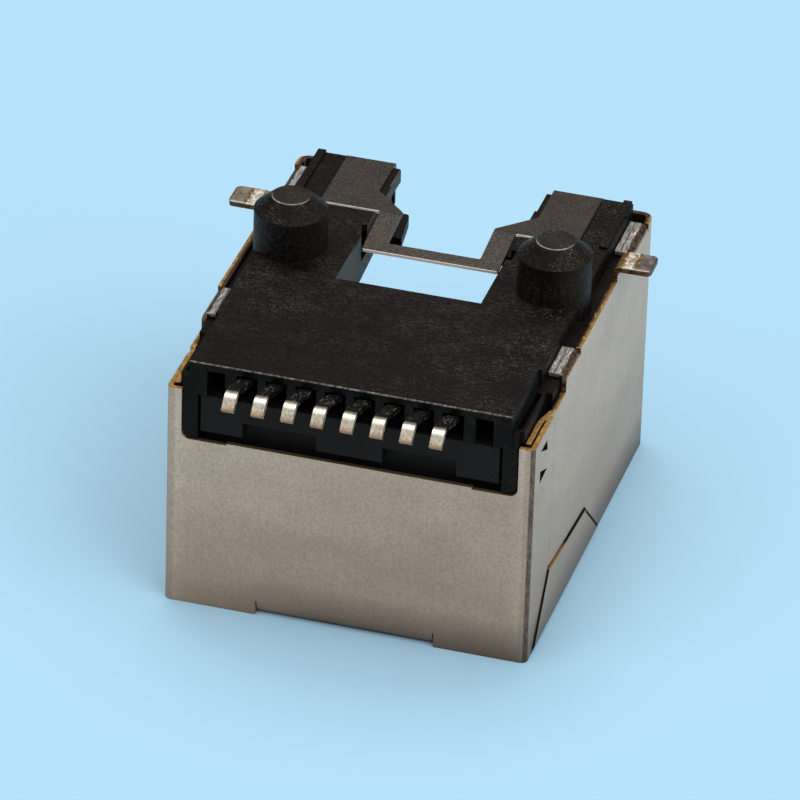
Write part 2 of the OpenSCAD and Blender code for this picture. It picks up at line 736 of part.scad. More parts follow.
// Rib that runs beside the clip's pad
module rib() {
    x1 = deck_half - rib_inset;
    block([x1 - rib_w, body_front - rib_l, top_z - LAP], [x1, body_front, top_z + rib_h]);
}
// Space for the plug, the insert and the contacts
module cavity_cut() {
    centred(plug_w / 2, [cavity_y - OVER, plug_z], [shell_d + OVER, plug_top]);
    centred(pocket_half, [-OVER, pocket_z], [cavity_y, pocket_top]);
    centred(tongue_half + insert_gap, [cavity_y - OVER, pocket_z],
            [turn_y + contact_t / 2 + turn_gap, plug_z + LAP]);
}
// Channel for the plug's latch, open to the board side and the front
module latch_cut() {
    half = latch_w / 2;
    step_z = plug_top + catch_rise + catch_t;
    catch_front = shell_d - catch_y;
    lip_z = top_z - lip_front_t;
    pocket_y = pad_near - pocket_gap - pocket_l;
    centred(half, [latch_y, plug_top - LAP], [shell_d + OVER, top_z + OVER]);
    centred(half + latch_front_gap, [catch_front, plug_top - LAP], [shell_d + OVER, top_z + OVER]);
    across(-lip_relief_half, lip_relief_half) {
        polygon([[catch_front - relief_l, plug_top - LAP],
                 [catch_front - relief_l / 2, plug_top + relief_rise],
                 [catch_front, plug_top + catch_rise + relief_rise], [catch_front, lip_z],
                 [shell_d + OVER, lip_z], [shell_d + OVER, plug_top - LAP]]);
    }
    centred(half + pocket_w, [pocket_y, step_z], [pocket_y + pocket_l, top_z + OVER]);
}
// Catch that holds the plug's latch
module latch_catch() {
    y1 = shell_d - catch_y;
    y0 = y1 - catch_l;
    root_x = latch_w / 2 + LAP;
    rear_x = catch_gap / 2;
    front_x = rear_x + catch_flare;
    translate([0, 0, plug_top + catch_rise]) linear_extrude(catch_t) {
        polygon(concat([[root_x, y0], [rear_x, y0]],
                       rounded([rear_x, y0], [front_x, y1], [root_x, y1], catch_r), [[root_x, y1]]));
    }
}
// Slots for the contacts, and an empty one at each end
module comb_cut() {
    high = top_z - lip_t;
    outer = (contacts - 1) / 2 * foot_pitch + slot_w / 2;
    for (i = [1 : contacts]) {
        x = (i - (contacts + 1) / 2) * foot_pitch;
        block([x - slot_w / 2, -OVER, pocket_top - OVER], [x + slot_w / 2, drop_y + slot_end, high]);
    }
    both_sides() block([outer + end_rib_w, -OVER, pocket_top - OVER],
                       [outer + end_rib_w + end_slot_w, end_slot_d, high]);
}
// Groove in the ledge beside the comb
module ledge_groove() {
    block([comb_half + shell_gap, rear_y + groove_end, ledge_z - groove_d],
          [rear_half - groove_wall, split_y - groove_end, ledge_z + OVER]);
}
// Shallow seats under the clip's pads
module clip_seat() {
    inner = clip_w / 2 - pad_w - OVER;
    seat_z = top_z - seat_d;
    block([inner, pad_near - seat_rear, seat_z], [clip_w / 2 + clip_gap, shell_d, top_z + OVER]);
    across(inner, clip_w / 2 + clip_gap) {
        polygon([[body_front - clip_r, seat_z], [body_front, seat_z - clip_r], [shell_d, seat_z - clip_r],
                 [shell_d, seat_z + OVER], [body_front - clip_r, seat_z + OVER]]);
    }
}
module housing() {
    color(PLASTIC) placed() {
        difference() {
            housing_body();
            cavity_cut();
            latch_cut();
            comb_cut();
            both_sides() {
                ledge_groove();
                clip_seat();
            }
        }
        both_sides() {
            peg();
            rib();
            latch_catch();
        }
    }
}

// ---- Clip --------------------------------------------------------------------------------

// Plan outline of the clip: two pads, two legs and the bridge
module clip_plan() {
    pad_x1 = clip_w / 2;
    pad_x0 = pad_x1 - pad_w;
    leg_x1 = leg_span / 2;
    leg_x0 = leg_x1 - leg_w;
    y0 = pad_near - leg_l;
    y1 = y0 + bridge_w;
    slant_y = pad_near + slant_gap;
    half = [[leg_x1, y0], [leg_x1, pad_near], [pad_x1, pad_near], [pad_x1, shell_d], [pad_x0, shell_d],
            [pad_x0, slant_y + slant_l], [leg_x0, slant_y], [leg_x0, y1]];
    polygon(loop(concat(half, [for (p = backwards(half)) [-p.x, p.y]]), clip_corner_r));
}
module ground_clip() {
    fold_y = body_front + clip_gap + clip_t / 2;
    color(CLIP_METAL) placed() {
        intersection() {
            across(-REACH / 2, REACH / 2) {
                ribbon(path([[pad_near - leg_l - OVER, clip_z - bridge_drop * (leg_l + OVER) / leg_l],
                             [pad_near - LAP, clip_z], [fold_y, clip_z], [fold_y, clip_z - clip_flange_h]],
                            [clip_bend_r, clip_r - clip_t / 2]), clip_t);
            }
            linear_extrude(REACH) clip_plan();
        }
    }
}

shield_shell();
housing();
contact_insert();
ground_clip();
contact_1();
contact_2();
contact_3();
contact_4();
contact_5();
contact_6();
contact_7();
contact_8();
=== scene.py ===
"""Looks of a shielded eight-way modular jack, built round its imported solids."""

import logging
import math
from dataclasses import dataclass
from enum import Enum
from typing import Any, Optional, Union

import bpy
from mathutils import Matrix, Vector


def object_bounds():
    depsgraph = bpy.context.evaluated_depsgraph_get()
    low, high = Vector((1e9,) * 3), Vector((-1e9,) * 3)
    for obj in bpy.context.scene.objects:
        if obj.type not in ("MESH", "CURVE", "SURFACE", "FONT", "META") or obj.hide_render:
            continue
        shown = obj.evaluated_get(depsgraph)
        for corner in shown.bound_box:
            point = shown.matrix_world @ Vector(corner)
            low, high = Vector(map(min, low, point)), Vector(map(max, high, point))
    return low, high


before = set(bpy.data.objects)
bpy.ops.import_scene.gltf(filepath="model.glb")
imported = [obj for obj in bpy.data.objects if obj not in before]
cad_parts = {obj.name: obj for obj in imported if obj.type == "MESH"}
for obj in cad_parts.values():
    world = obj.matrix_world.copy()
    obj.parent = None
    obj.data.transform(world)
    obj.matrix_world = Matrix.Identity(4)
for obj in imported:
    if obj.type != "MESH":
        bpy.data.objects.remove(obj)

CAD_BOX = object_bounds()
MM = 0.001
LOG = logging.getLogger("modular_jack")

Socket = bpy.types.NodeSocket
Colour = tuple[float, float, float, float]
Axes = tuple[float, float, float]
Paint = Union[Socket, str]
# Lower and upper limit of a place in millimetres, or of another value
Span = tuple[float, float]
# Two places or values, and what a mask is at the first and at the second
Ramp = tuple[float, float, float, float]


class Facing(Enum):
    """Ways that a bare face can look."""

    REAR = (0, -1, 0)
    RIGHT = (1, 0, 0)
    BOARD = (0, 0, 1)


class Moulding(Enum):
    """Mouldings that are made of the nylon."""

    BODY = "glass_filled_nylon"
    INSERT = "insert_nylon"


def linear(code: str) -> Colour:
    """Turns an sRGB hex value into a linear colour.

    Args:
        code: Six hex digits after a hash sign.

    Returns:
        Red, green, blue and alpha.
    """
    parts = [int(code[i:i + 2], 16) / 255 for i in (1, 3, 5)]
    r, g, b = (c / 12.92 if c <= 0.04045 else ((c + 0.055) / 1.055) ** 2.4 for c in parts)
    return (r, g, b, 1.0)


@dataclass(frozen=True)
class Pattern:
    """Uneven pattern whose spots have a real size.

    Attributes:
        spot: Size of a spot along X, Y and Z in millimetres.
        low: Noise value that becomes 0.
        high: Noise value that becomes 1.
        detail: Number of finer layers.
        seed: Offset in millimetres, so that patterns of one spot size still differ.
    """

    spot: Axes
    low: float = 0.35
    high: float = 0.65
    detail: float = 3.0
    seed: float = 0.0


class Surface:
    """Node tree of one material, with the sockets that its patterns start from.

    Attributes:
        material: The material that the tree belongs to.
        point: Place on the object in millimetres.
        side: Place across the object, from left to right.
        x: Distance from the middle plane, the same on both sides.
        y: Place along the depth, from the rear to the plug opening.
        z: Height over the flat shield face.
        normal: Direction of the bare face.
        sideways: How far the face looks to either side, from 0 to 1.
        upward: How far the face looks up, from -1 to 1.
    """

    def __init__(self, name: str, tree: Optional[bpy.types.NodeTree] = None) -> None:
        """Starts an empty tree.

        Args:
            name: Name of the material.
            tree: A tree that is used instead of a new material's.
        """
        self.material = None if tree else bpy.data.materials.new(name)
        if self.material:
            self.material.use_nodes = True
        self.tree = tree or self.material.node_tree
        self.tree.nodes.clear()
        if self.material:
            self.find_places()

    def find_places(self) -> None:
        """Adds the sockets that patterns start from."""
        place = self.node("TexCoord", out="Object")
        self.point = self.node("VectorMath", place, 1 / MM, operation="SCALE")
        self.side = self.node("SeparateXYZ", self.point, out="X")
        self.x = self.node("Math", self.side, operation="ABSOLUTE")
        self.y = self.node("SeparateXYZ", self.point, out="Y")
        self.z = self.node("SeparateXYZ", self.point, out="Z")
        self.normal = self.node("NewGeometry", out="True Normal")
        across = self.node("SeparateXYZ", self.normal, out="X")
        self.sideways = self.node("Math", across, operation="ABSOLUTE")
        self.upward = self.node("SeparateXYZ", self.normal, out="Z")

    def node(self, kind: str, *values: Any, out: Union[int, str] = 0, **settings: Any) -> Socket:
        """Adds a node with its settings and links.

        Args:
            kind: Type of the node without its prefix.
            values: What goes into the inputs in order; None leaves an input as it is.
            out: Output that is returned.
            settings: Attributes of the node, or inputs by name with a capital first letter.

        Returns:
            The chosen output.
        """
        node = self.tree.nodes.new("ShaderNode" + kind)
        for key, value in settings.items():
            if not key[0].isupper():
                setattr(node, key, value)
        inputs = [s for s in node.inputs if s.enabled]
        pairs = list(zip(inputs, values))
        pairs += [(node.inputs[k.replace("_", " ")], v) for k, v in settings.items() if k[0].isupper()]
        for socket, value in pairs:
            if isinstance(value, Socket):
                self.tree.links.new(value, socket)
            elif value is not None:
                socket.default_value = value
        outputs = [s for s in node.outputs if s.enabled] or [None]
        return outputs[out] if isinstance(out, int) else node.outputs[out]

    def between(self, value: Socket, span: Span, soft: float = 0.02) -> Socket:
        """Gives 1 where a value lies between two limits, and 0 outside them.

        Args:
            value: The value that is tested.
            span: Lower and upper limit.
            soft: Half width of the step at each limit.

        Returns:
            The mask.
        """
        low, high = span
        rise = self.node("MapRange", value, low - soft, low + soft)
        fall = self.node("MapRange", value, high - soft, high + soft, 1.0, 0.0)
        return self.node("Math", rise, fall, operation="MULTIPLY")

    def both(self, *masks: Union[Socket, float]) -> Socket:
        """Gives the product of masks and shares.

        Args:
            masks: Two or more, the first a mask and the others masks or plain shares.

        Returns:
            Their product.
        """
        product = masks[0]
        for mask in masks[1:]:
            product = self.node("Math", product, mask, operation="MULTIPLY")
        return product

    def facing(self, way: Facing, low: float = 0.7, high: float = 0.8) -> Socket:
        """Gives 1 on faces that look one way.

        Args:
            way: The way that the faces look.
            low: Cosine at which the mask starts.
            high: Cosine at which it is full.

        Returns:
            The mask.
        """
        cosine = self.node("VectorMath", self.normal, way.value, out="Value", operation="DOT_PRODUCT")
        return self.node("MapRange", cosine, low, high)

    def noise(self, pattern: Pattern) -> Socket:
        """Draws an uneven pattern.

        Args:
            pattern: The pattern.

        Returns:
            Its value, from 0 to 1.
        """
        scaled = self.node("Mapping", self.point, (pattern.seed,) * 3, (0, 0, 0),
                           tuple(1 / size for size in pattern.spot))
        value = self.node("TexNoise", Vector=scaled, Scale=1.0, Detail=pattern.detail)
        return self.node("MapRange", value, pattern.low, pattern.high)

    def layered(self, base: Paint, *layers: tuple[Socket, Paint]) -> Socket:
        """Lays colours over a base.

        Args:
            base: Colour below, as a socket or a hex value.
            layers: Mask and colour of each layer, from the lowest up.

        Returns:
            The colour of the whole stack.
        """
        for mask, paint in layers:
            pair = [linear(c) if isinstance(c, str) else c for c in (base, paint)]
            base = self.node("Mix", mask, *pair, data_type="RGBA")
        return base

    def finish(self, shader: Socket) -> bpy.types.Material:
        """Links the shader to the material's output.

        Args:
            shader: The shader.

        Returns:
            The finished material.
        """
        self.node("OutputMaterial", shader)
        return self.material


def cover(name: str, material: bpy.types.Material) -> None:
    """Puts a finish on a solid and reports it.

    Args:
        name: Name of the solid.
        material: Its finish.
    """
    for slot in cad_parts[name].material_slots:
        slot.material = material
    LOG.info("dressed %s in %s", name, material.name)


@dataclass(frozen=True)
class ShieldShell:
    """Folded shell: rear panel, side walls with flaps on their set-in ends, ears and tabs.

    Attributes:
        rear_y: Outer face of the rear panel.
        flap_y: Front edge of the flaps.
        wall_x: Outer face of a side wall.
        wall_top: Upper edge of a side wall.
        rear_top: Upper edge of the rear panel.
        near_tab: Ends of the near inner tab, from the rear panel's face.
        far_tab: Ends of the far inner tab.
        ear_lines: Each seam of an ear: its two ends, as depth from the rear panel's face and
            height, and how far its dark line reaches inwards.
    """

    rear_y: float = -8.105
    flap_y: float = -5.055
    wall_x: float = 7.95
    wall_top: float = 11.35
    rear_top: float = 10.4
    near_tab: Span = (4.85, 7.0)
    far_tab: Span = (15.45, 18.05)
    ear_lines: tuple[tuple[Span, Span, float], ...] = (
        ((0.78, 0.0), (2.98, 2.93), 0.06),
        ((2.98, 2.93), (8.88, 2.43), 0.06),
        ((8.88, 2.43), (11.48, 0.0), 0.15))

    def dress(self) -> None:
        """Plates the shell."""
        cover("shield_shell", NickelPlatedBrass(self).build())


@dataclass(frozen=True)
class Housing:
    """Moulded body with its locating pegs and its latch channel.

    Attributes:
        top_z: Height of the board side face.
        rear_y: Rear edge of that face.
        tip_z: Height of the pegs' tips.
        peg_x: Distance of a peg's axis from the middle plane.
        peg_y: Place of the pegs' axes along the depth.
        tip_r: Radius of a peg's flat tip.
    """

    top_z: float = 11.88
    rear_y: float = -8.155
    tip_z: float = 14.34
    peg_x: float = 5.81
    peg_y: float = 2.345
    tip_r: float = 0.83

    def dress(self) -> None:
        """Gives the body its handled nylon."""
        cover("housing", GlassFilledNylon(Moulding.BODY, self).build())


@dataclass(frozen=True)
class ContactInsert:
    """Insert that carries the contacts, moulded in a greyer and finer nylon than the body.

    Attributes:
        resin: Colour of the nylon.
        fibre: Colour where fibres lie at the surface.
        grain_mm: Size of the mould's grain.
    """

    resin: str = "#19191A"
    fibre: str = "#232324"
    grain_mm: float = 0.12

    def dress(self) -> None:
        """Gives the insert its unhandled nylon."""
        nylon = GlassFilledNylon(Moulding.INSERT, resin=self.resin, fibre=self.fibre, grain_mm=self.grain_mm)
        cover("contact_insert", nylon.build())


@dataclass(frozen=True)
class GroundClip:
    """Flat clip on the board side, with two pads and a bridge between its legs.

    Attributes:
        pad_y: Rear edge of the pads.
        bridge_y: Rear edge of the bridge.
    """

    pad_y: float = 6.345
    bridge_y: float = 3.595

    def dress(self) -> None:
        """Gives the clip its dark oxide."""
        cover("ground_clip", SpringBronze(self).build())


@dataclass(frozen=True)
class ContactRow:
    """Row of bent contacts, whose feet are soldered to the board.

    Attributes:
        count: Number of contacts.
        toe_y: End of a foot.
        crest_y: Middle of the bend between the toe and the crest.
        crest_end: Where the strip starts to slope into the housing.
    """

    count: int = 8
    toe_y: float = -10.945
    crest_y: float = -10.46
    crest_end: float = -10.3

    def dress(self) -> None:
        """Tins the contacts."""
        tin = MatteTin(self).build()
        for number in range(1, self.count + 1):
            cover(f"contact_{number}", tin)


@dataclass(frozen=True)
class PlatedSheet:
    """What each coloured place of the shield starts from: the shell, and the colours of its sheet.

    The sheet is cold rolled brass, nickel plated and then stamped and folded. The plating is
    satin grey; brass shows where it was cut, and the folds carry painted shade in dark brown.
    """

    shell: ShieldShell = ShieldShell()
    dull: str = "#85705F"
    brass: str = "#BE9048"
    gold: str = "#A58347"
    brown: str = "#5A3C1F"
    scorched: str = "#2A1B10"
    black: str = "#060505"
    glint: str = "#F6F2EA"


@dataclass(frozen=True)
class RolledPlating(PlatedSheet):
    """Plated faces: warm satin grey, a little cloudy, faint rolling lines, painted light and a foot in
    painted shade.
    """

    side: str = "#D6BCA5"
    # The rear panel is painted in a darker, warmer copy of the walls' colour: painted shade
    rear: str = "#D3B69F"
    # Colour of the painted light on the rear panel
    light: str = "#EAD3BB"
    # Colour of the painted shade at the right of the rear panel's foot
    foot: str = "#54453A"
    rear_cosines: Span = (0.6, 0.95)
    wall_cosines: Span = (0.9, 0.95)
    # Painted light: the rear panel's upper left is painted lighter than its foot
    light_patch_z: Span = (2.0, 9.6)
    light_patch_side: Span = (3.0, -7.0)
    light_patch_share: float = 0.75
    # Painted highlight: the rear panel is painted lighter towards both folds
    strip: Ramp = (7.0, 7.5, 0.0, 0.45)
    clouds: Pattern = Pattern((3.3, 3.3, 1.76), 0.3, 0.7, 4.0, 3.0)
    cloud_share: float = 0.26
    grain: Pattern = Pattern((0.11, 0.11, 0.11), 0.35, 0.7, 2.0, 6.0)
    grain_share: float = 0.34
    # Rolling lines run up the walls, far finer than they can be drawn, so they are widened
    lines: Pattern = Pattern((0.1, 0.1, 4.0), 0.45, 0.75, 2.0)
    line_share: float = 0.1
    # Painted shade: the near end and the foot of the right wall are painted duller
    near_shade: Ramp = (-7.6, -2.5, 0.2, 0.0)
    low_shade: Ramp = (0.0, 6.0, 0.3, 0.0)
    # Painted shade: towards the floor the whole shell is painted duller, and the right of the rear
    # panel's foot dark brown
    foot_shade: Ramp = (0.0, 8.5, 0.42, 0.0)
    foot_dark_shade: Ramp = (0.0, 1.9, 0.85, 0.0)
    foot_shade_side: Ramp = (-7.5, -1.0, 0.12, 1.0)

    def paint(self, s: Surface) -> Socket:
        """Gives the colour of the plated faces.

        Args:
            s: Surface that the pattern is drawn on.

        Returns:
            The colour.
        """
        rear = s.facing(Facing.REAR, *self.rear_cosines)
        wall = s.facing(Facing.RIGHT, *self.wall_cosines)
        light_patch = s.both(rear, s.node("MapRange", s.z, *self.light_patch_z), s.node("MapRange", s.side, *self.light_patch_side))
        painted_shade = s.both(s.node("MapRange", s.z, *self.foot_dark_shade),
                       s.node("MapRange", s.side, *self.foot_shade_side))
        return s.layered(
            self.side,
            (rear, self.rear),
            (s.both(light_patch, self.light_patch_share), self.light),
            (s.both(rear, s.node("MapRange", s.x, *self.strip)), self.light),
            (s.both(s.noise(self.clouds), self.cloud_share), self.dull),
            (s.both(s.noise(self.grain), self.grain_share), self.dull),
            (s.both(s.noise(self.lines), self.line_share), self.dull),
            (s.both(wall, s.node("MapRange", s.y, *self.near_shade)), self.dull),
            (s.both(wall, s.node("MapRange", s.z, *self.low_shade)), self.dull),
            (s.node("MapRange", s.z, *self.foot_shade), self.dull),
            (painted_shade, self.foot))


@dataclass(frozen=True)
class ShadedFolds(PlatedSheet):
    """Upright folds: painted shade along each fold, broken into short upright dark brown lines."""

    # How far a fold reaches outside and inside the rear panel's face
    outside: float = 0.1
    inside: float = 0.22
    shade_cosines: Span = (0.5, 0.6)
    shade_x: Span = (7.56, 8.2)
    shade_soft: float = 0.06
    shade_share: float = 0.3
    right_side: Span = (7.77, 8.1)
    right_soft: float = 0.03
    left_side: Span = (-8.1, -7.91)
    left_share: float = 0.8
    # Painted shade along the folds, broken into short upright lines
    fold_shade_spots: Pattern = Pattern((0.08, 0.08, 0.3), 0.25, 0.7, 2.0, 11.0)
    fold_shade_depth: Ramp = (0.0, 1.0, 0.55, 0.95)
    patches: Pattern = Pattern((0.1, 0.1, 0.16), 0.45, 0.65, 2.0, 37.0)

    def paint(self, s: Surface, colour: Socket) -> Socket:
        """Paints shade on the upright folds.

        Args:
            s: Surface that the pattern is drawn on.
            colour: Colour of the plated faces.

        Returns:
            The colour with the folds.
        """
        rear_y = self.shell.rear_y
        outer = s.between(s.y, (rear_y - self.outside, rear_y + self.inside))
        shade = s.both(outer, s.facing(Facing.REAR, *self.shade_cosines),
                       s.between(s.x, self.shade_x, self.shade_soft))
        right = s.both(outer, s.between(s.side, self.right_side, self.right_soft))
        left = s.both(outer, s.between(s.side, self.left_side))
        bend = s.node("Math", right, s.both(left, self.left_share), operation="MAXIMUM")
        fold_shade = s.node("MapRange", s.noise(self.fold_shade_spots), *self.fold_shade_depth)
        # Colour of the painted shade on the folds, dark brown in patches
        worn = s.layered(self.scorched, (s.noise(self.patches), self.brown))
        return s.layered(colour, (s.both(shade, self.shade_share), self.dull), (s.both(bend, fold_shade), worn))


@dataclass(frozen=True)
class InnerTabs(PlatedSheet):
    """Tabs that fold inwards: silver with streaks along them, and brown at the fold."""

    silver: str = "#C4C0BA"
    streak: str = "#736E69"
    # Colour of the painted shade along the crease of each tab, dark and bluish
    crease_shade: str = "#3F4148"
    fold: str = "#76593A"
    # Reach of the tabs' colours round a tab
    margin: float = 0.03
    drop: float = 0.3
    rise: float = 0.1
    reach_x: Span = (5.0, 7.935)
    reach_soft: float = 0.008
    streaks: Pattern = Pattern((0.09, 0.5, 0.3), 0.35, 0.65, 3.0, 9.0)
    glints: Pattern = Pattern((0.12, 0.4, 0.3), 0.6, 0.7, 2.0, 15.0)
    wobble: Pattern = Pattern((0.3, 0.5, 0.3), 0.0, 1.0, 2.0, 5.0)
    wobble_mm: float = 0.12
    crease_x: Span = (7.43, 7.48)
    crease_soft: float = 0.025
    rust: Pattern = Pattern((0.12, 0.2, 0.12), 0.3, 0.6, 2.0, 3.0)
    fold_x: Span = (7.72, 8.2)
    fold_soft: float = 0.04
    edge_x: Span = (7.9, 8.0)
    edge_soft: float = 0.015
    # Painted highlight: the tabs' end faces go from streak grey to white towards their top
    end_cosines: Span = (0.6, 0.8)
    end_z: Span = (11.25, 11.33)

    def paint(self, s: Surface) -> tuple[Socket, Socket]:
        """Gives the place and the colour of the inner tabs.

        Args:
            s: Surface that the pattern is drawn on.

        Returns:
            Mask and colour of the tabs.
        """
        shell = self.shell
        spans = [s.between(s.y, (low + shell.rear_y - self.margin, high + shell.rear_y + self.margin))
                 for low, high in (shell.near_tab, shell.far_tab)]
        mask = s.both(s.node("Math", *spans, operation="MAXIMUM"),
                      s.between(s.z, (shell.wall_top - self.drop, shell.wall_top + self.rise)),
                      s.between(s.x, self.reach_x, self.reach_soft))
        wavy = s.node("Math", s.x, s.both(s.noise(self.wobble), self.wobble_mm), operation="ADD")
        rust = s.noise(self.rust)
        end = s.layered(self.streak, (s.node("MapRange", s.z, *self.end_z), self.glint))
        colour = s.layered(
            self.silver,
            (s.noise(self.streaks), self.streak),
            (s.noise(self.glints), self.glint),
            (s.between(wavy, self.crease_x, self.crease_soft), self.crease_shade),
            (s.between(wavy, self.fold_x, self.fold_soft), s.layered(self.fold, (rust, self.scorched))),
            # The cut edge of the wall runs on over the fold as a thin golden line
            (s.between(s.x, self.edge_x, self.edge_soft), s.layered(self.brass, (rust, self.brown))),
            (s.facing(Facing.REAR, *self.end_cosines), end))
        return mask, colour


@dataclass(frozen=True)
class SolderTabs(PlatedSheet):
    """Tabs that are soldered to the board: a golden bend, a glint on it and a dull flat."""

    flat: str = "#93887D"
    blotch: str = "#5C5149"
    pale: str = "#C6B8A6"
    sheen: str = "#A3957A"
    flux: str = "#4A4038"
    tip: str = "#33241A"
    reach_z: Span = (11.62, 12.2)
    reach_soft: float = 0.05
    reach_x: Span = (7.6, 9.6)
    blotches: Pattern = Pattern((0.35, 0.3, 0.35), 0.35, 0.65, 3.0, 5.0)
    # The left tab faces the light and is paler
    left_pale: Ramp = (0.0, -1.0, 0.0, 0.22)
    wobble: Pattern = Pattern((0.3, 0.25, 0.3), 0.0, 1.0, 3.0, 21.0)
    wobble_mm: float = 0.3
    glints: Pattern = Pattern((0.12, 0.24, 0.12), 0.36, 0.64, 2.0, 31.0)
    flecks: Pattern = Pattern((0.13, 0.18, 0.13), 0.54, 0.64, 2.0, 33.0)
    patches: Pattern = Pattern((0.14, 0.2, 0.14), 0.4, 0.6, 2.0, 47.0)
    glint_x: Span = (8.24, 8.78)
    outer_gold_x: Span = (8.72, 8.86)
    bend_soft: float = 0.03
    inner_gold_x: Span = (7.6, 8.26)
    inner_soft: float = 0.04
    # Painted highlight along the rear edge of each tab
    rim_y: Span = (4.82, 4.93)
    rim_x: Span = (8.2, 9.35)
    rim_z: Span = (12.0, 12.2)
    rim_share: float = 0.55
    tip_x: Span = (9.29, 9.6)
    tip_share: float = 0.7
    dull_spots: Pattern = Pattern((0.18, 0.22, 0.18), 0.42, 0.62, 2.0, 41.0)
    flux_x: Span = (8.62, 9.3)
    flux_x_soft: float = 0.1
    flux_y: Span = (5.0, 6.0)
    flux_y_soft: float = 0.12
    flux_share: float = 0.6

    def paint(self, s: Surface) -> tuple[Socket, Socket]:
        """Gives the place and the colour of the soldering tabs.

        Args:
            s: Surface that the pattern is drawn on.

        Returns:
            Mask and colour of the tabs.
        """
        wavy = s.node("Math", s.x, s.both(s.noise(self.wobble), self.wobble_mm), operation="ADD")
        shine = s.layered(self.sheen, (s.noise(self.glints), self.glint), (s.noise(self.flecks), self.gold))
        patchy = s.layered(self.gold, (s.noise(self.patches), self.brown))
        rim = s.both(s.between(s.y, self.rim_y), s.between(s.x, self.rim_x), s.between(s.z, self.rim_z))
        flux = s.both(s.between(s.x, self.flux_x, self.flux_x_soft),
                      s.between(s.y, self.flux_y, self.flux_y_soft), s.noise(self.dull_spots))
        colour = s.layered(
            self.flat,
            (s.noise(self.blotches), self.blotch),
            (s.node("MapRange", s.side, *self.left_pale), self.pale),
            (s.between(wavy, self.glint_x, self.bend_soft), shine),
            (s.between(wavy, self.outer_gold_x, self.bend_soft), patchy),
            (s.between(wavy, self.inner_gold_x, self.inner_soft), patchy),
            (s.both(rim, self.rim_share), self.glint),
            (s.both(s.between(s.x, self.tip_x), self.tip_share), self.tip),
            (s.both(flux, self.flux_share), self.flux))
        return s.both(s.between(s.z, self.reach_z, self.reach_soft), s.between(s.x, self.reach_x)), colour


@dataclass(frozen=True)
class CutEdges(PlatedSheet):
    """Cut faces, where the golden brass of the sheet lies bare."""

    bright: str = "#F0C878"
    # Colour of the painted shade on the window's lower cut edge
    sill_shade: str = "#6B5A44"
    sheared: str = "#8A642F"
    stains: Pattern = Pattern((0.25, 0.25, 0.25), 0.35, 0.65, 3.0, 7.0)
    stain_and_shade_share: float = 0.6
    # The punch leaves the inner half of a wall's cut face torn and dark
    torn_from: float = 0.15
    torn_to: float = 0.08
    torn_share: float = 0.9
    torn_start: float = 0.15
    front_y: float = 12.0
    spots: Pattern = Pattern((0.16, 0.4, 0.16), 0.58, 0.7, 2.0, 27.0)
    spot_share: float = 0.7
    # Painted shade: the cut face along the window's lower edge is painted duller, in the housing's shadow
    sill_z: Span = (7.9, 8.4)
    sill_x: Span = (0.0, 7.4)
    top_cosines: Span = (0.8, 0.9)
    top_z: Span = (7.9, 11.4)
    # The upright cuts of the walls' step and of the tabs were sheared, which leaves them dark
    shear_x: Span = (7.6, 9.8)
    shear_z: Span = (9.0, 12.2)
    shear_start: float = 2.0
    shear_spots: Pattern = Pattern((0.3, 0.2, 0.1), 0.4, 0.75, 2.0, 43.0)

    def paint(self, s: Surface, colour: Socket, tabs: Socket) -> Socket:
        """Lays bare brass on the cut faces.

        Args:
            s: Surface that the pattern is drawn on.
            colour: Colour of the other faces.
            tabs: Mask of the inner tabs, which have no cut face on top.

        Returns:
            The colour with the cut faces.
        """
        shell = self.shell
        torn = s.node("MapRange", s.x, shell.wall_x - self.torn_from, shell.wall_x - self.torn_to,
                      self.torn_share, 0.0)
        brass = s.layered(
            self.brass,
            (s.both(s.noise(self.stains), self.stain_and_shade_share), self.brown),
            (s.both(s.between(s.y, (shell.flap_y + self.torn_start, self.front_y)), torn), self.scorched),
            (s.both(s.noise(self.spots), self.spot_share), self.bright),
            (s.both(s.between(s.z, self.sill_z), s.between(s.x, self.sill_x)), self.sill_shade))
        plain = s.node("Math", 1.0, tabs, operation="SUBTRACT")
        top = s.both(s.facing(Facing.BOARD, *self.top_cosines), s.between(s.z, self.top_z), plain)
        upright = s.both(s.facing(Facing.REAR), s.between(s.x, self.shear_x), s.between(s.z, self.shear_z),
                         s.between(s.y, (shell.rear_y + self.shear_start, self.front_y)), plain)
        dark = s.layered(self.scorched, (s.noise(self.shear_spots), self.sheared))
        return s.layered(colour, (top, brass), (upright, dark))


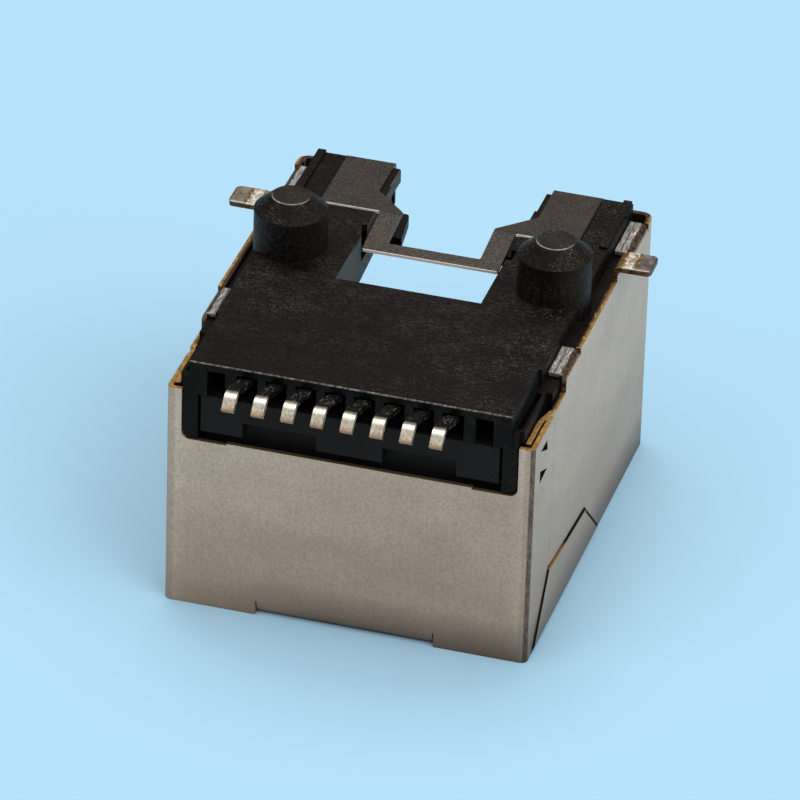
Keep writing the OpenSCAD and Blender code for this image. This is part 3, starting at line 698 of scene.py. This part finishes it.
@dataclass(frozen=True)
class Slits(PlatedSheet):
    """Painted black shade inside the slits and the pressed marks and behind the flaps, and on the ears'
    seams.
    """

    edge_on: Ramp = (0.3, 0.6, 1.0, 0.0)
    not_top: Ramp = (0.5, 0.7, 1.0, 0.0)
    wall_x: Span = (7.5, 8.1)
    # Slits round the ears, painted black as shade
    ear_z: Span = (0.3, 4.2)
    ear_start: float = 0.45
    ear_end_y: float = 9.0
    # Triangular marks that are pressed through the flaps, painted black as shade
    mark_z: Span = (8.0, 10.1)
    mark_start: float = 0.8
    mark_end: float = 2.4
    # Space between a flap and the set-in part of its wall, painted black as shade
    behind_x: Span = (7.0, 7.735)
    behind_soft: float = 0.004
    behind_start: float = 0.25
    behind_end: float = 0.1
    behind_z: float = 0.3
    behind_drop: float = 0.25
    behind_z_soft: float = 0.05
    # Inside of the walls over the moulded body, painted nearly black as shade
    inside_x: float = 7.6
    inside_gap: float = 0.205
    inside_soft: float = 0.006
    inside_z: float = 9.4
    inside_drop: float = 0.12
    inside_start: float = 0.3
    inside_end_y: float = 10.6
    inside_share: float = 0.98
    # Back of the front panel over the moulded body, painted nearly black as shade
    front_y: Span = (10.5, 10.8)
    front_z: float = 9.0
    front_rise: float = 0.1
    front_share: float = 0.97
    # Shadow line where a flap ends against the wall
    line_back: float = 0.012
    line_ahead: float = 0.03
    line_soft: float = 0.008
    outside_x: Span = (7.9, 8.1)
    line_z: float = 2.9
    line_drop: float = 0.2
    line_share: float = 0.8
    # Seams round the ears, painted black as shade, with brass along the middle of the upper one
    seam_out: float = 0.05
    seam_soft: float = 0.012
    seam_margin: float = 0.03
    cut_brass: str = "#C08A44"
    cut_cosines: Span = (0.6, 0.7)
    cut_x: Span = (7.93, 8.2)
    cut_x_soft: float = 0.01
    cut_z: Span = (2.3, 3.2)
    cut_start: float = 0.3
    cut_end: float = 2.4
    cut_soft: float = 0.3
    cut_share: float = 0.85

    def paint(self, s: Surface, colour: Socket) -> Socket:
        """Paints black shade into the slits, the marks, the hollows and the seams.

        Args:
            s: Surface that the pattern is drawn on.
            colour: Colour of the other faces.

        Returns:
            The colour with the slits.
        """
        shell = self.shell
        rear_y = shell.rear_y
        edge_on = s.node("MapRange", s.sideways, *self.edge_on)
        not_top = s.node("MapRange", s.upward, *self.not_top)
        ear = s.both(edge_on, s.between(s.z, self.ear_z), s.between(s.x, self.wall_x),
                     s.between(s.y, (rear_y + self.ear_start, self.ear_end_y)))
        mark = s.both(edge_on, s.between(s.z, self.mark_z), s.between(s.x, self.wall_x),
                      s.between(s.y, (rear_y + self.mark_start, rear_y + self.mark_end)))
        behind = s.both(s.between(s.y, (rear_y + self.behind_start, shell.flap_y + self.behind_end)),
                        s.between(s.x, self.behind_x, self.behind_soft),
                        s.between(s.z, (self.behind_z, shell.wall_top - self.behind_drop),
                                  self.behind_z_soft),
                        not_top)
        inside = s.both(s.between(s.x, (self.inside_x, shell.wall_x - self.inside_gap), self.inside_soft),
                        s.between(s.z, (self.inside_z, shell.wall_top - self.inside_drop)),
                        s.between(s.y, (rear_y + self.inside_start, self.inside_end_y)), not_top)
        front = s.both(s.facing(Facing.REAR), s.between(s.y, self.front_y),
                       s.between(s.z, (self.front_z, shell.wall_top + self.front_rise)))
        line = s.both(s.between(s.y, (shell.flap_y - self.line_back, shell.flap_y + self.line_ahead),
                                self.line_soft),
                      s.between(s.x, self.outside_x),
                      s.between(s.z, (self.line_z, shell.rear_top - self.line_drop)))
        dark = (ear, mark, behind, s.both(inside, self.inside_share), s.both(front, self.front_share))
        colour = s.layered(colour, *((mask, self.black) for mask in dark),
                           (s.both(line, self.line_share), self.scorched))
        return self.seams(s, colour)

    def seams(self, s: Surface, colour: Socket) -> Socket:
        """Draws the ears' seams in painted black shade, with brass along the middle of the upper one.

        Args:
            s: Surface that the pattern is drawn on.
            colour: Colour of the other faces.

        Returns:
            The colour with the seams.
        """
        rear_y = self.shell.rear_y
        for (y0, z0), (y1, z1), inward in self.shell.ear_lines:
            length = math.hypot(y1 - y0, z1 - z0)
            across = s.node("Math", s.both(s.y, (z0 - z1) / length), s.both(s.z, (y1 - y0) / length),
                            operation="ADD")
            middle = (y0 + rear_y) * (z0 - z1) / length + z0 * (y1 - y0) / length
            along = s.between(s.y, (y0 + rear_y - self.seam_margin, y1 + rear_y + self.seam_margin),
                              self.seam_margin)
            seam = s.both(s.between(across, (middle - inward, middle + self.seam_out), self.seam_soft), along,
                          s.between(s.x, self.outside_x))
            colour = s.layered(colour, (seam, self.black))
        corner_y = self.shell.ear_lines[1][0][0] + rear_y
        cut = s.both(s.facing(Facing.BOARD, *self.cut_cosines), s.between(s.x, self.cut_x, self.cut_x_soft),
                     s.between(s.z, self.cut_z),
                     s.between(s.y, (corner_y - self.cut_start, corner_y + self.cut_end), self.cut_soft))
        return s.layered(colour, (s.both(cut, self.cut_share), self.cut_brass))


@dataclass(frozen=True)
class NickelPlatedBrass:
    """Finish of the shield: cold rolled brass sheet, nickel plated and then stamped and folded.

    The plating gives a warm satin grey with a soft gloss. Where the tool cut the sheet the golden
    brass shows, and the folds carry painted shade, dark and rough. The sheet is shaded as partly
    metallic, because a full metal would mirror the floor's colour more than the satin plating does.
    """

    shell: ShieldShell
    metallic: float = 0.42
    roughness: float = 0.4
    grain: Pattern = Pattern((0.1, 0.1, 0.1), 0.3, 0.7, 2.0, 2.0)
    smoother: float = 0.04
    rougher: float = 0.06
    # Painted shade in the slits and the other near-black places is made rough, so it keeps no gloss
    dark_matte: Ramp = (0.0, 0.03, 0.5, 0.0)
    bevel_mm: float = 0.03
    bump_strength: float = 0.08
    bump_mm: float = 0.02

    def build(self) -> bpy.types.Material:
        """Builds the material.

        Returns:
            The material.
        """
        s = Surface("nickel_plated_brass")
        colour = ShadedFolds(self.shell).paint(s, RolledPlating(self.shell).paint(s))
        tabs, silver = InnerTabs(self.shell).paint(s)
        colour = s.layered(colour, (tabs, silver), SolderTabs(self.shell).paint(s))
        colour = Slits(self.shell).paint(s, CutEdges(self.shell).paint(s, colour, tabs))
        grain = s.noise(self.grain)
        rough = s.node("MapRange", grain, 0.0, 1.0, self.roughness - self.smoother,
                       self.roughness + self.rougher)
        dark_matte = s.node("MapRange", s.node("SeparateColor", colour, out="Red"), *self.dark_matte)
        rough = s.node("Math", rough, dark_matte, operation="ADD")
        soft = s.node("Bevel", Radius=self.bevel_mm * MM)
        bump = s.node("Bump", Strength=self.bump_strength, Distance=self.bump_mm * MM, Height=grain,
                      Normal=soft)
        return s.finish(s.node("BsdfPrincipled", Base_Color=colour, Metallic=self.metallic, Roughness=rough,
                               Normal=bump))


@dataclass(frozen=True)
class GlassFilledNylon:
    """Finish of the plastic: black nylon filled with glass fibre, moulded in a fine matte tool.

    The fibres give a fine grey mottle with little sheen, and handling leaves whitish scuffs on the
    board side of the body. Light is painted on the rear top edge, the pegs and the latch channel's
    walls, and shade towards the ends of the body.
    """

    moulding: Moulding
    housing: Housing = Housing()
    resin: str = "#080708"
    fibre: str = "#292726"
    scuff: str = "#77716C"
    edge_highlight: str = "#B9B4AE"
    # Colour of the painted light on the latch channel's walls, also of the pegs' paler tips
    warm_grey: str = "#52493F"
    # Colour of the painted sheen on the pegs' sides
    drawn: str = "#261B12"
    tint: str = "#FFE2C6"
    roughness: float = 0.46
    rougher: float = 0.08
    smoother: float = 0.05
    ior: float = 1.5
    sheen: float = 0.13
    bevel_mm: float = 0.05
    bump_strength: float = 0.16
    bump_mm: float = 0.03
    grain_mm: float = 0.13
    grain_stretch: float = 1.3
    grain_levels: Span = (0.4, 0.7)
    drag: Pattern = Pattern((0.6, 0.09, 0.6), 0.4, 0.75, 2.0, 12.0)
    drag_share: float = 0.7
    patches: Pattern = Pattern((1.7, 1.4, 1.7), 0.32, 0.66, 3.0, 4.0)
    # The fibres show most on faces that look up
    up_fibre: Ramp = (0.2, 0.7, 0.3, 1.0)
    # Painted light and shade: the fibre mottle is painted fainter by the feet and the opening,
    # so the body is lightest between the pegs
    rear_fibre: Span = (0.4, 1.1)
    rear_end: float = -1.0
    front_fibre: Ramp = (4.5, 7.0, 1.0, 0.6)
    # Scuffs on the board side: most of the handling is by the left peg and towards the right
    top_cosines: Span = (0.3, 0.9)
    top_drop: float = 0.2
    over_all: float = 20.0
    right_wear: Ramp = (-3.0, 5.5, 0.12, 0.9)
    patch_side: Span = (-7.2, -2.2)
    patch_side_soft: float = 0.9
    patch_y: Span = (-3.6, 1.4)
    patch_y_soft: float = 1.0
    broad: Pattern = Pattern((2.4, 1.9, 2.4), 0.36, 0.62, 2.0, 6.0)
    specks: Pattern = Pattern((0.1, 0.08, 0.1), 0.58, 0.72, 2.0, 8.0)
    speck_share: float = 0.5
    strokes: Pattern = Pattern((0.7, 0.06, 0.7), 0.6, 0.74, 2.0, 2.0)
    stroke_share: float = 0.4
    # Dots on the pegs' cones
    cone_drop: float = 0.63
    dots: Pattern = Pattern((0.07, 0.07, 0.07), 0.6, 0.7, 2.0, 13.0)
    cluster: Pattern = Pattern((0.8, 0.8, 0.8), 0.45, 0.6, 2.0, 19.0)
    cluster_share: float = 0.75
    over_tip: float = 0.1
    # Painted highlight along the rear top edge, broken into chips
    chips: Pattern = Pattern((0.18, 0.18, 0.18), 0.42, 0.66, 3.0, 4.0)
    edge_back: float = 0.1
    edge_ahead: float = 0.045
    edge_drop: float = 0.05
    edge_rise: float = 0.1
    edge_soft: float = 0.01
    edge_highlight_chips: Ramp = (0.0, 1.0, 0.16, 0.7)
    # Flat tips of the pegs, a little paler, and a painted highlight on their rims towards the rear
    tip_inset: float = 0.05
    tip_drop: float = 0.03
    tip_share: float = 0.2
    rim_in: float = 0.035
    rim_out: float = 0.02
    rim_drop: float = 0.04
    rim_rear: Ramp = (-0.6, 0.0, 0.85, 0.05)
    rim_chips: Ramp = (0.0, 1.0, 0.5, 1.0)
    # Painted sheen: the pegs' sides that look left and right are painted a little paler
    sheen_cosines: Span = (0.2, 0.9)
    sheen_r: Span = (1.3, 1.7)
    sheen_share: float = 0.45
    # Painted light: the walls of the latch channel are painted paler, in streaks
    channel_light_streaks: Pattern = Pattern((0.3, 0.6, 0.12), 0.3, 0.7, 3.0, 17.0)
    channel_light_depth: Ramp = (0.0, 1.0, 0.5, 1.0)
    channel_cosines: Span = (0.8, 0.95)
    channel_x: Span = (3.0, 3.6)
    channel_z: Span = (9.7, 11.95)

    def board_side(self, s: Surface, colour: Socket) -> Socket:
        """Lays specks and strokes on the board side.

        Args:
            s: Surface that the pattern is drawn on.
            colour: Colour below them.

        Returns:
            The colour with the scuffs.
        """
        top = s.both(s.facing(Facing.BOARD, *self.top_cosines),
                     s.between(s.z, (self.housing.top_z - self.top_drop, self.over_all)))
        patch = s.both(s.between(s.side, self.patch_side, self.patch_side_soft),
                       s.between(s.y, self.patch_y, self.patch_y_soft))
        worn = s.node("Math", s.node("MapRange", s.side, *self.right_wear), patch, operation="MAXIMUM")
        broad = s.both(s.noise(self.broad), worn)
        return s.layered(
            colour,
            (s.both(s.noise(self.specks), top, s.both(broad, self.speck_share)), self.scuff),
            (s.both(s.noise(self.strokes), top, s.both(broad, self.stroke_share)), self.scuff))

    def pegs(self, s: Surface, colour: Socket) -> Socket:
        """Scuffs the pegs' cones, pales their tips, and paints highlights and sheen on edges, rims and sides.

        Args:
            s: Surface that the pattern is drawn on.
            colour: Colour below these marks.

        Returns:
            The colour with the scuffs and the painted light.
        """
        body = self.housing
        over = body.tip_z + self.over_tip
        cone = s.between(s.z, (body.tip_z - self.cone_drop, over))
        dotted = s.both(cone, s.noise(self.dots), s.both(s.noise(self.cluster), self.cluster_share))
        chips = s.noise(self.chips)
        edge = s.both(s.between(s.y, (body.rear_y - self.edge_back, body.rear_y + self.edge_ahead),
                                self.edge_soft),
                      s.between(s.z, (body.top_z - self.edge_drop, body.top_z + self.edge_rise),
                                self.edge_soft))
        across = s.node("Math", s.x, body.peg_x, operation="SUBTRACT")
        along = s.node("Math", s.y, body.peg_y, operation="SUBTRACT")
        reach = s.node("VectorMath", s.node("CombineXYZ", across, along), out="Value", operation="LENGTH")
        flat = s.both(s.between(reach, (0.0, body.tip_r - self.tip_inset)),
                      s.between(s.z, (body.tip_z - self.tip_drop, over)))
        rim = s.both(s.between(reach, (body.tip_r - self.rim_in, body.tip_r + self.rim_out), self.edge_soft),
                     s.between(s.z, (body.tip_z - self.rim_drop, over)))
        near = s.both(s.node("MapRange", along, *self.rim_rear), s.node("MapRange", chips, *self.rim_chips))
        sides = s.both(s.node("MapRange", s.sideways, *self.sheen_cosines),
                       s.between(s.z, (body.top_z, body.tip_z)), s.between(reach, self.sheen_r))
        return s.layered(
            colour,
            (dotted, self.scuff),
            (s.both(edge, s.node("MapRange", chips, *self.edge_highlight_chips)), self.edge_highlight),
            (s.both(flat, self.tip_share), self.warm_grey),
            (s.both(rim, near), self.edge_highlight),
            (s.both(sides, self.sheen_share), self.drawn))

    def channel(self, s: Surface, colour: Socket) -> Socket:
        """Paints light on the walls of the latch channel, in streaks.

        Args:
            s: Surface that the pattern is drawn on.
            colour: Colour of the other faces.

        Returns:
            The colour with the channel's walls.
        """
        wall = s.both(s.node("MapRange", s.sideways, *self.channel_cosines), s.between(s.x, self.channel_x),
                      s.between(s.z, self.channel_z))
        # Streaks of the painted light
        drag = s.node("MapRange", s.noise(self.channel_light_streaks), *self.channel_light_depth)
        return s.layered(colour, (s.both(wall, drag), self.warm_grey))

    def build(self) -> bpy.types.Material:
        """Builds the material.

        Returns:
            The material.
        """
        s = Surface(self.moulding.value)
        handled = self.moulding is Moulding.BODY
        spot = (self.grain_mm * self.grain_stretch, self.grain_mm, self.grain_mm)
        grain = s.noise(Pattern(spot, *self.grain_levels, 2.0))
        share = s.node("MapRange", s.upward, *self.up_fibre)
        if handled:
            rear = s.node("MapRange", s.y, self.housing.rear_y, self.rear_end, *self.rear_fibre)
            share = s.both(rear, s.node("MapRange", s.y, *self.front_fibre))
        depth = s.both(s.noise(self.patches), share)
        colour = s.layered(
            self.resin,
            (s.both(grain, depth), self.fibre),
            (s.both(s.noise(self.drag), depth, s.both(grain, self.drag_share)), self.fibre))
        if handled:
            colour = self.channel(s, self.pegs(s, self.board_side(s, colour)))
        rough = s.node("MapRange", grain, 0.0, 1.0, self.roughness + self.rougher,
                       self.roughness - self.smoother)
        soft = s.node("Bevel", Radius=self.bevel_mm * MM)
        bump = s.node("Bump", Strength=self.bump_strength, Distance=self.bump_mm * MM, Height=grain,
                      Normal=soft)
        return s.finish(s.node("BsdfPrincipled", Base_Color=colour, Roughness=rough, IOR=self.ior,
                               Specular_IOR_Level=self.sheen, Specular_Tint=linear(self.tint), Normal=bump))


@dataclass(frozen=True)
class SpringBronze:
    """Finish of the clip: thin spring bronze, rolled, stamped and darkened by oxide.

    The oxide gives a dark speckled face. The cut faces that look to the rear are bare metal with
    painted highlight, and a painted highlight runs along the rear edges of the pads and the bridge.
    """

    clip: GroundClip
    oxide: str = "#37312D"
    pale: str = "#453E39"
    speck: str = "#6E655C"
    pit: str = "#2A2522"
    # Colour of the rear cut faces and the rear edges: bare metal with painted highlight
    cut: str = "#F4EEE4"
    shadow: str = "#0D0B0A"
    metallic: float = 0.6
    cut_metallic: float = 0.1
    roughness: float = 0.42
    bump_strength: float = 0.25
    bump_mm: float = 0.02
    grain: Pattern = Pattern((0.1, 0.1, 0.1), 0.45, 0.75, 2.0)
    grain_share: float = 0.7
    clouds: Pattern = Pattern((1.2, 1.0, 1.2), 0.3, 0.7, 3.0, 5.0)
    pits: Pattern = Pattern((0.16, 0.16, 0.16), 0.56, 0.68, 2.0, 9.0)
    pit_share: float = 0.6
    # Outer edges of the pads, in the shade of the ribs beside them
    outer_x: Span = (5.71, 5.9)
    outer_soft: float = 0.01
    outer_start: float = 0.1
    outer_end_y: float = 11.0
    outer_share: float = 0.85
    cut_z: Span = (11.0, 12.2)
    # Painted highlight along the rear edges of the pads and of the bridge
    glint_back: float = 0.03
    glint_ahead: float = 0.035
    glint_soft: float = 0.01
    pad_x: Span = (3.05, 5.8)
    bridge_x: Span = (-1.0, 3.0)
    glint_grain: Ramp = (0.0, 1.0, 1.0, 0.55)

    def edge(self, s: Surface, rear_y: float, span: Span) -> Socket:
        """Gives the painted highlight along one rear edge.

        Args:
            s: Surface that the highlight is drawn on.
            rear_y: Place of the edge.
            span: Its ends across the clip.

        Returns:
            The mask.
        """
        line = s.between(s.y, (rear_y - self.glint_back, rear_y + self.glint_ahead), self.glint_soft)
        return s.both(line, s.between(s.x, span))

    def build(self) -> bpy.types.Material:
        """Builds the material.

        Returns:
            The material.
        """
        s = Surface("oxidised_spring_bronze")
        grain = s.noise(self.grain)
        outer = s.both(s.between(s.x, self.outer_x, self.outer_soft),
                       s.between(s.y, (self.clip.pad_y - self.outer_start, self.outer_end_y)))
        rear_glint = s.node("Math", self.edge(s, self.clip.pad_y, self.pad_x),
                      self.edge(s, self.clip.bridge_y, self.bridge_x), operation="MAXIMUM")
        # Cut faces that look to the rear, bare metal with painted highlight, and the painted highlight on the
        # rear edges
        cut = s.node("Math", s.both(s.facing(Facing.REAR), s.between(s.z, self.cut_z)),
                     s.both(rear_glint, s.node("MapRange", grain, *self.glint_grain)), operation="MAXIMUM")
        colour = s.layered(
            self.oxide,
            (s.noise(self.clouds), self.pale),
            (s.both(grain, self.grain_share), self.speck),
            (s.both(s.noise(self.pits), self.pit_share), self.pit),
            (s.both(outer, self.outer_share), self.shadow),
            (cut, self.cut))
        metal = s.node("MapRange", cut, 0.0, 1.0, self.metallic, self.cut_metallic)
        bump = s.node("Bump", Strength=self.bump_strength, Distance=self.bump_mm * MM, Height=grain)
        return s.finish(s.node("BsdfPrincipled", Base_Color=colour, Metallic=metal, Roughness=self.roughness,
                               Normal=bump))


@dataclass(frozen=True)
class MatteTin:
    """Finish of the contacts: copper alloy strip, plated with matte tin and then cut and bent.

    The tin gives a bright satin white, with a painted highlight at the bend. The copper shows at
    the cut ends. From just behind the crest onwards the strip is painted nearly black as shade,
    with painted glints where it slopes into the housing.
    """

    row: ContactRow
    tin: str = "#CDC5B0"
    shade: str = "#8E8370"
    # Colour of the painted highlight at the bend
    crest: str = "#FBF7EE"
    copper: str = "#8A5A36"
    # Colour of the painted shade from just behind the crest onwards
    dark: str = "#0C0B0A"
    # Colour of the painted glints on that dark slope
    streak: str = "#B7B0A4"
    metallic: float = 0.6
    roughness: float = 0.28
    shaded_roughness: float = 0.6
    gloss: float = 0.2
    bump_strength: float = 0.15
    bump_mm: float = 0.02
    grain: Pattern = Pattern((0.11, 0.16, 0.11), 0.35, 0.7, 3.0)
    grain_share: float = 0.8
    # Painted highlight on the bend between the toe and the crest
    bend_back: float = 0.08
    bend_ahead: float = 0.06
    bend_soft: float = 0.05
    bend_z: Span = (11.5, 12.2)
    toe_length: float = 0.16
    toe_share: float = 0.8
    # Painted shade from just behind the crest onwards, into the housing
    shade_back: float = 0.05
    shade_ahead: float = 0.2
    stain_and_shade_share: float = 0.995
    # Painted glints on the dark slope
    streaks: Pattern = Pattern((0.06, 0.5, 0.2), 0.61, 0.7, 3.0, 3.0)
    streak_y: Span = (-10.0, -8.3)
    streak_soft: float = 0.3
    streak_share: float = 0.8

    def build(self) -> bpy.types.Material:
        """Builds the material.

        Returns:
            The material.
        """
        s = Surface("matte_tin")
        row = self.row
        grain = s.noise(self.grain)
        bend = s.between(s.y, (row.crest_y - self.bend_back, row.crest_y + self.bend_ahead), self.bend_soft)
        toe = s.node("MapRange", s.y, row.toe_y, row.toe_y + self.toe_length, self.toe_share, 0.0)
        # Painted shade behind the crest, and painted glints on it
        painted_shade = s.node("MapRange", s.y, row.crest_end - self.shade_back,
                       row.crest_end + self.shade_ahead, 0.0, self.stain_and_shade_share)
        streaks = s.both(s.noise(self.streaks), s.between(s.y, self.streak_y, self.streak_soft))
        colour = s.layered(
            self.tin,
            (s.both(grain, self.grain_share), self.shade),
            (s.both(bend, s.between(s.z, self.bend_z)), self.crest),
            (toe, self.copper),
            (painted_shade, self.dark),
            (s.both(streaks, self.streak_share), self.streak))
        rough = s.node("MapRange", painted_shade, 0.0, 1.0, self.roughness, self.shaded_roughness)
        bump = s.node("Bump", Strength=self.bump_strength, Distance=self.bump_mm * MM, Height=grain)
        return s.finish(s.node("BsdfPrincipled", Base_Color=colour, Metallic=self.metallic, Roughness=rough,
                               Specular_IOR_Level=self.gloss, Normal=bump))


@dataclass(frozen=True)
class Lamp:
    """Soft square lamp that looks at the jack.

    Attributes:
        name: Its name.
        direction: Where it stands, as seen from the jack.
        distance: Its distance in metres.
        size: Its width in metres.
        power: Its power in watts.
    """

    name: str
    direction: Axes
    distance: float
    size: float
    power: float

    def add(self) -> None:
        """Adds the lamp to the scene."""
        data = bpy.data.lights.new(self.name, "AREA")
        data.shape = "SQUARE"
        data.size = self.size
        data.energy = self.power
        lamp = bpy.data.objects.new(self.name, data)
        towards = Vector(self.direction).normalized()
        lamp.location = towards * self.distance
        lamp.rotation_euler = towards.to_track_quat("Z", "Y").to_euler()
        bpy.context.scene.collection.objects.link(lamp)


@dataclass(frozen=True)
class Studio:
    """Pale floor, soft lamps and camera.

    Attributes:
        floor: Colour of the floor and the backdrop.
        floor_radius: Radius of the floor in metres.
        floor_steps: Number of its corners.
        floor_gap_mm: Gap between the jack and the floor, so that their faces don't flicker.
        bounce: Grey of the light that the floor sends back to matte faces.
        room: Light of the even room.
        brightness: Heights of the room's dim and bright parts, and how bright they are.
        lamps: The lamps.
        azimuth: Direction of the camera, from the rear towards the right side, in degrees.
        elevation: Height angle of the camera in degrees.
        roll: Turn of the camera about its own axis in degrees.
        lens: Focal length in millimetres.
        sensor: Width of the camera's film in millimetres.
        clip: Nearest and farthest distance that the camera sees, in metres.
        aim: Offset of the camera to its right and upwards, in millimetres.
        distance: Distance of the camera in millimetres.
        origin_y: Place along the depth that the camera's offsets start from, in millimetres.
    """

    floor: str = "#AFD9F1"
    floor_radius: float = 4.0
    floor_steps: int = 48
    floor_gap_mm: float = 0.02
    bounce: str = "#D4D4D2"
    room: str = "#FFFFFF"
    brightness: Ramp = (0.3, 1.0, 0.1, 1.1)
    lamps: tuple[Lamp, ...] = (
        Lamp("key", (0.8, -0.35, 0.75), 1.0, 0.9, 4.6),
        Lamp("top", (-0.15, 0.3, 1.0), 1.0, 0.45, 1.8),
        Lamp("fill", (-0.8, -0.8, 0.6), 1.0, 0.8, 1.4))
    azimuth: float = 15.43
    elevation: float = 31.17
    roll: float = -1.856
    lens: float = 348.55
    sensor: float = 36.0
    clip: Span = (0.01, 100.0)
    aim: Span = (2.366, 9.679)
    distance: float = 325.286
    origin_y: float = -8.105

    def add_camera(self) -> None:
        """Adds the camera, which looks at the rear and the right side from above."""
        a, e, r = (math.radians(v) for v in (self.azimuth, self.elevation, self.roll))
        back = Vector((math.sin(a) * math.cos(e), -math.cos(a) * math.cos(e), math.sin(e)))
        right = Vector((math.cos(a), math.sin(a), 0))
        up = back.cross(right)
        right, up = (right * math.cos(r) - up * math.sin(r), right * math.sin(r) + up * math.cos(r))
        offset = right * self.aim[0] + up * self.aim[1] + back * self.distance
        place = (offset + Vector((0, self.origin_y, 0))) * MM
        data = bpy.data.cameras.new("camera")
        data.lens = self.lens
        data.sensor_width = self.sensor
        data.clip_start, data.clip_end = self.clip
        camera = bpy.data.objects.new("camera", data)
        camera.matrix_world = Matrix.Translation(place) @ Matrix((right, up, back)).transposed().to_4x4()
        bpy.context.scene.collection.objects.link(camera)
        bpy.context.scene.camera = camera

    def add_floor(self) -> None:
        """Adds the floor that the jack rests on."""
        height = CAD_BOX[0][2] - self.floor_gap_mm * MM
        angles = [2 * math.pi * k / self.floor_steps for k in range(self.floor_steps)]
        ring = [(self.floor_radius * math.cos(a), self.floor_radius * math.sin(a), height) for a in angles]
        mesh = bpy.data.meshes.new("floor")
        mesh.from_pydata(ring, [], [list(range(self.floor_steps))])
        floor = bpy.data.objects.new("floor", mesh)
        bpy.context.scene.collection.objects.link(floor)
        # The paint's colour shows to the eye and in metal and plastic, and its bounce light is neutral
        s = Surface("painted_floor")
        camera, glossy, through = (s.node("LightPath", out=f"Is {kind} Ray")
                                   for kind in ("Camera", "Glossy", "Transmission"))
        seen = s.node("Math", camera, glossy, operation="MAXIMUM")
        seen = s.node("Math", seen, through, operation="MAXIMUM")
        mesh.materials.append(s.finish(s.node("BsdfDiffuse", s.layered(self.bounce, (seen, self.floor)))))

    def add_light(self) -> None:
        """Adds the lamps and the even light of the room."""
        world = bpy.data.worlds.new("room")
        bpy.context.scene.world = world
        world.use_nodes = True
        # A wide soft box overhead: the room is dim at the horizon and bright above
        s = Surface("room", world.node_tree)
        height = s.node("SeparateXYZ", s.node("TexCoord", out="Generated"), out="Z")
        level = s.node("MapRange", height, *self.brightness, interpolation_type="SMOOTHSTEP")
        s.node("OutputWorld", s.node("Background", linear(self.room), level))
        for lamp in self.lamps:
            lamp.add()

    def build(self) -> None:
        """Builds the studio."""
        self.add_camera()
        self.add_floor()
        self.add_light()
        bpy.context.scene.view_settings.view_transform = "Standard"
        LOG.info("built the studio")


def main() -> None:
    """Builds the studio and dresses the jack, piece by piece."""
    logging.basicConfig(level=logging.INFO)
    Studio().build()
    for piece in (ShieldShell(), Housing(), ContactInsert(), GroundClip(), ContactRow()):
        piece.dress()


if __name__ == "__main__":
    main()
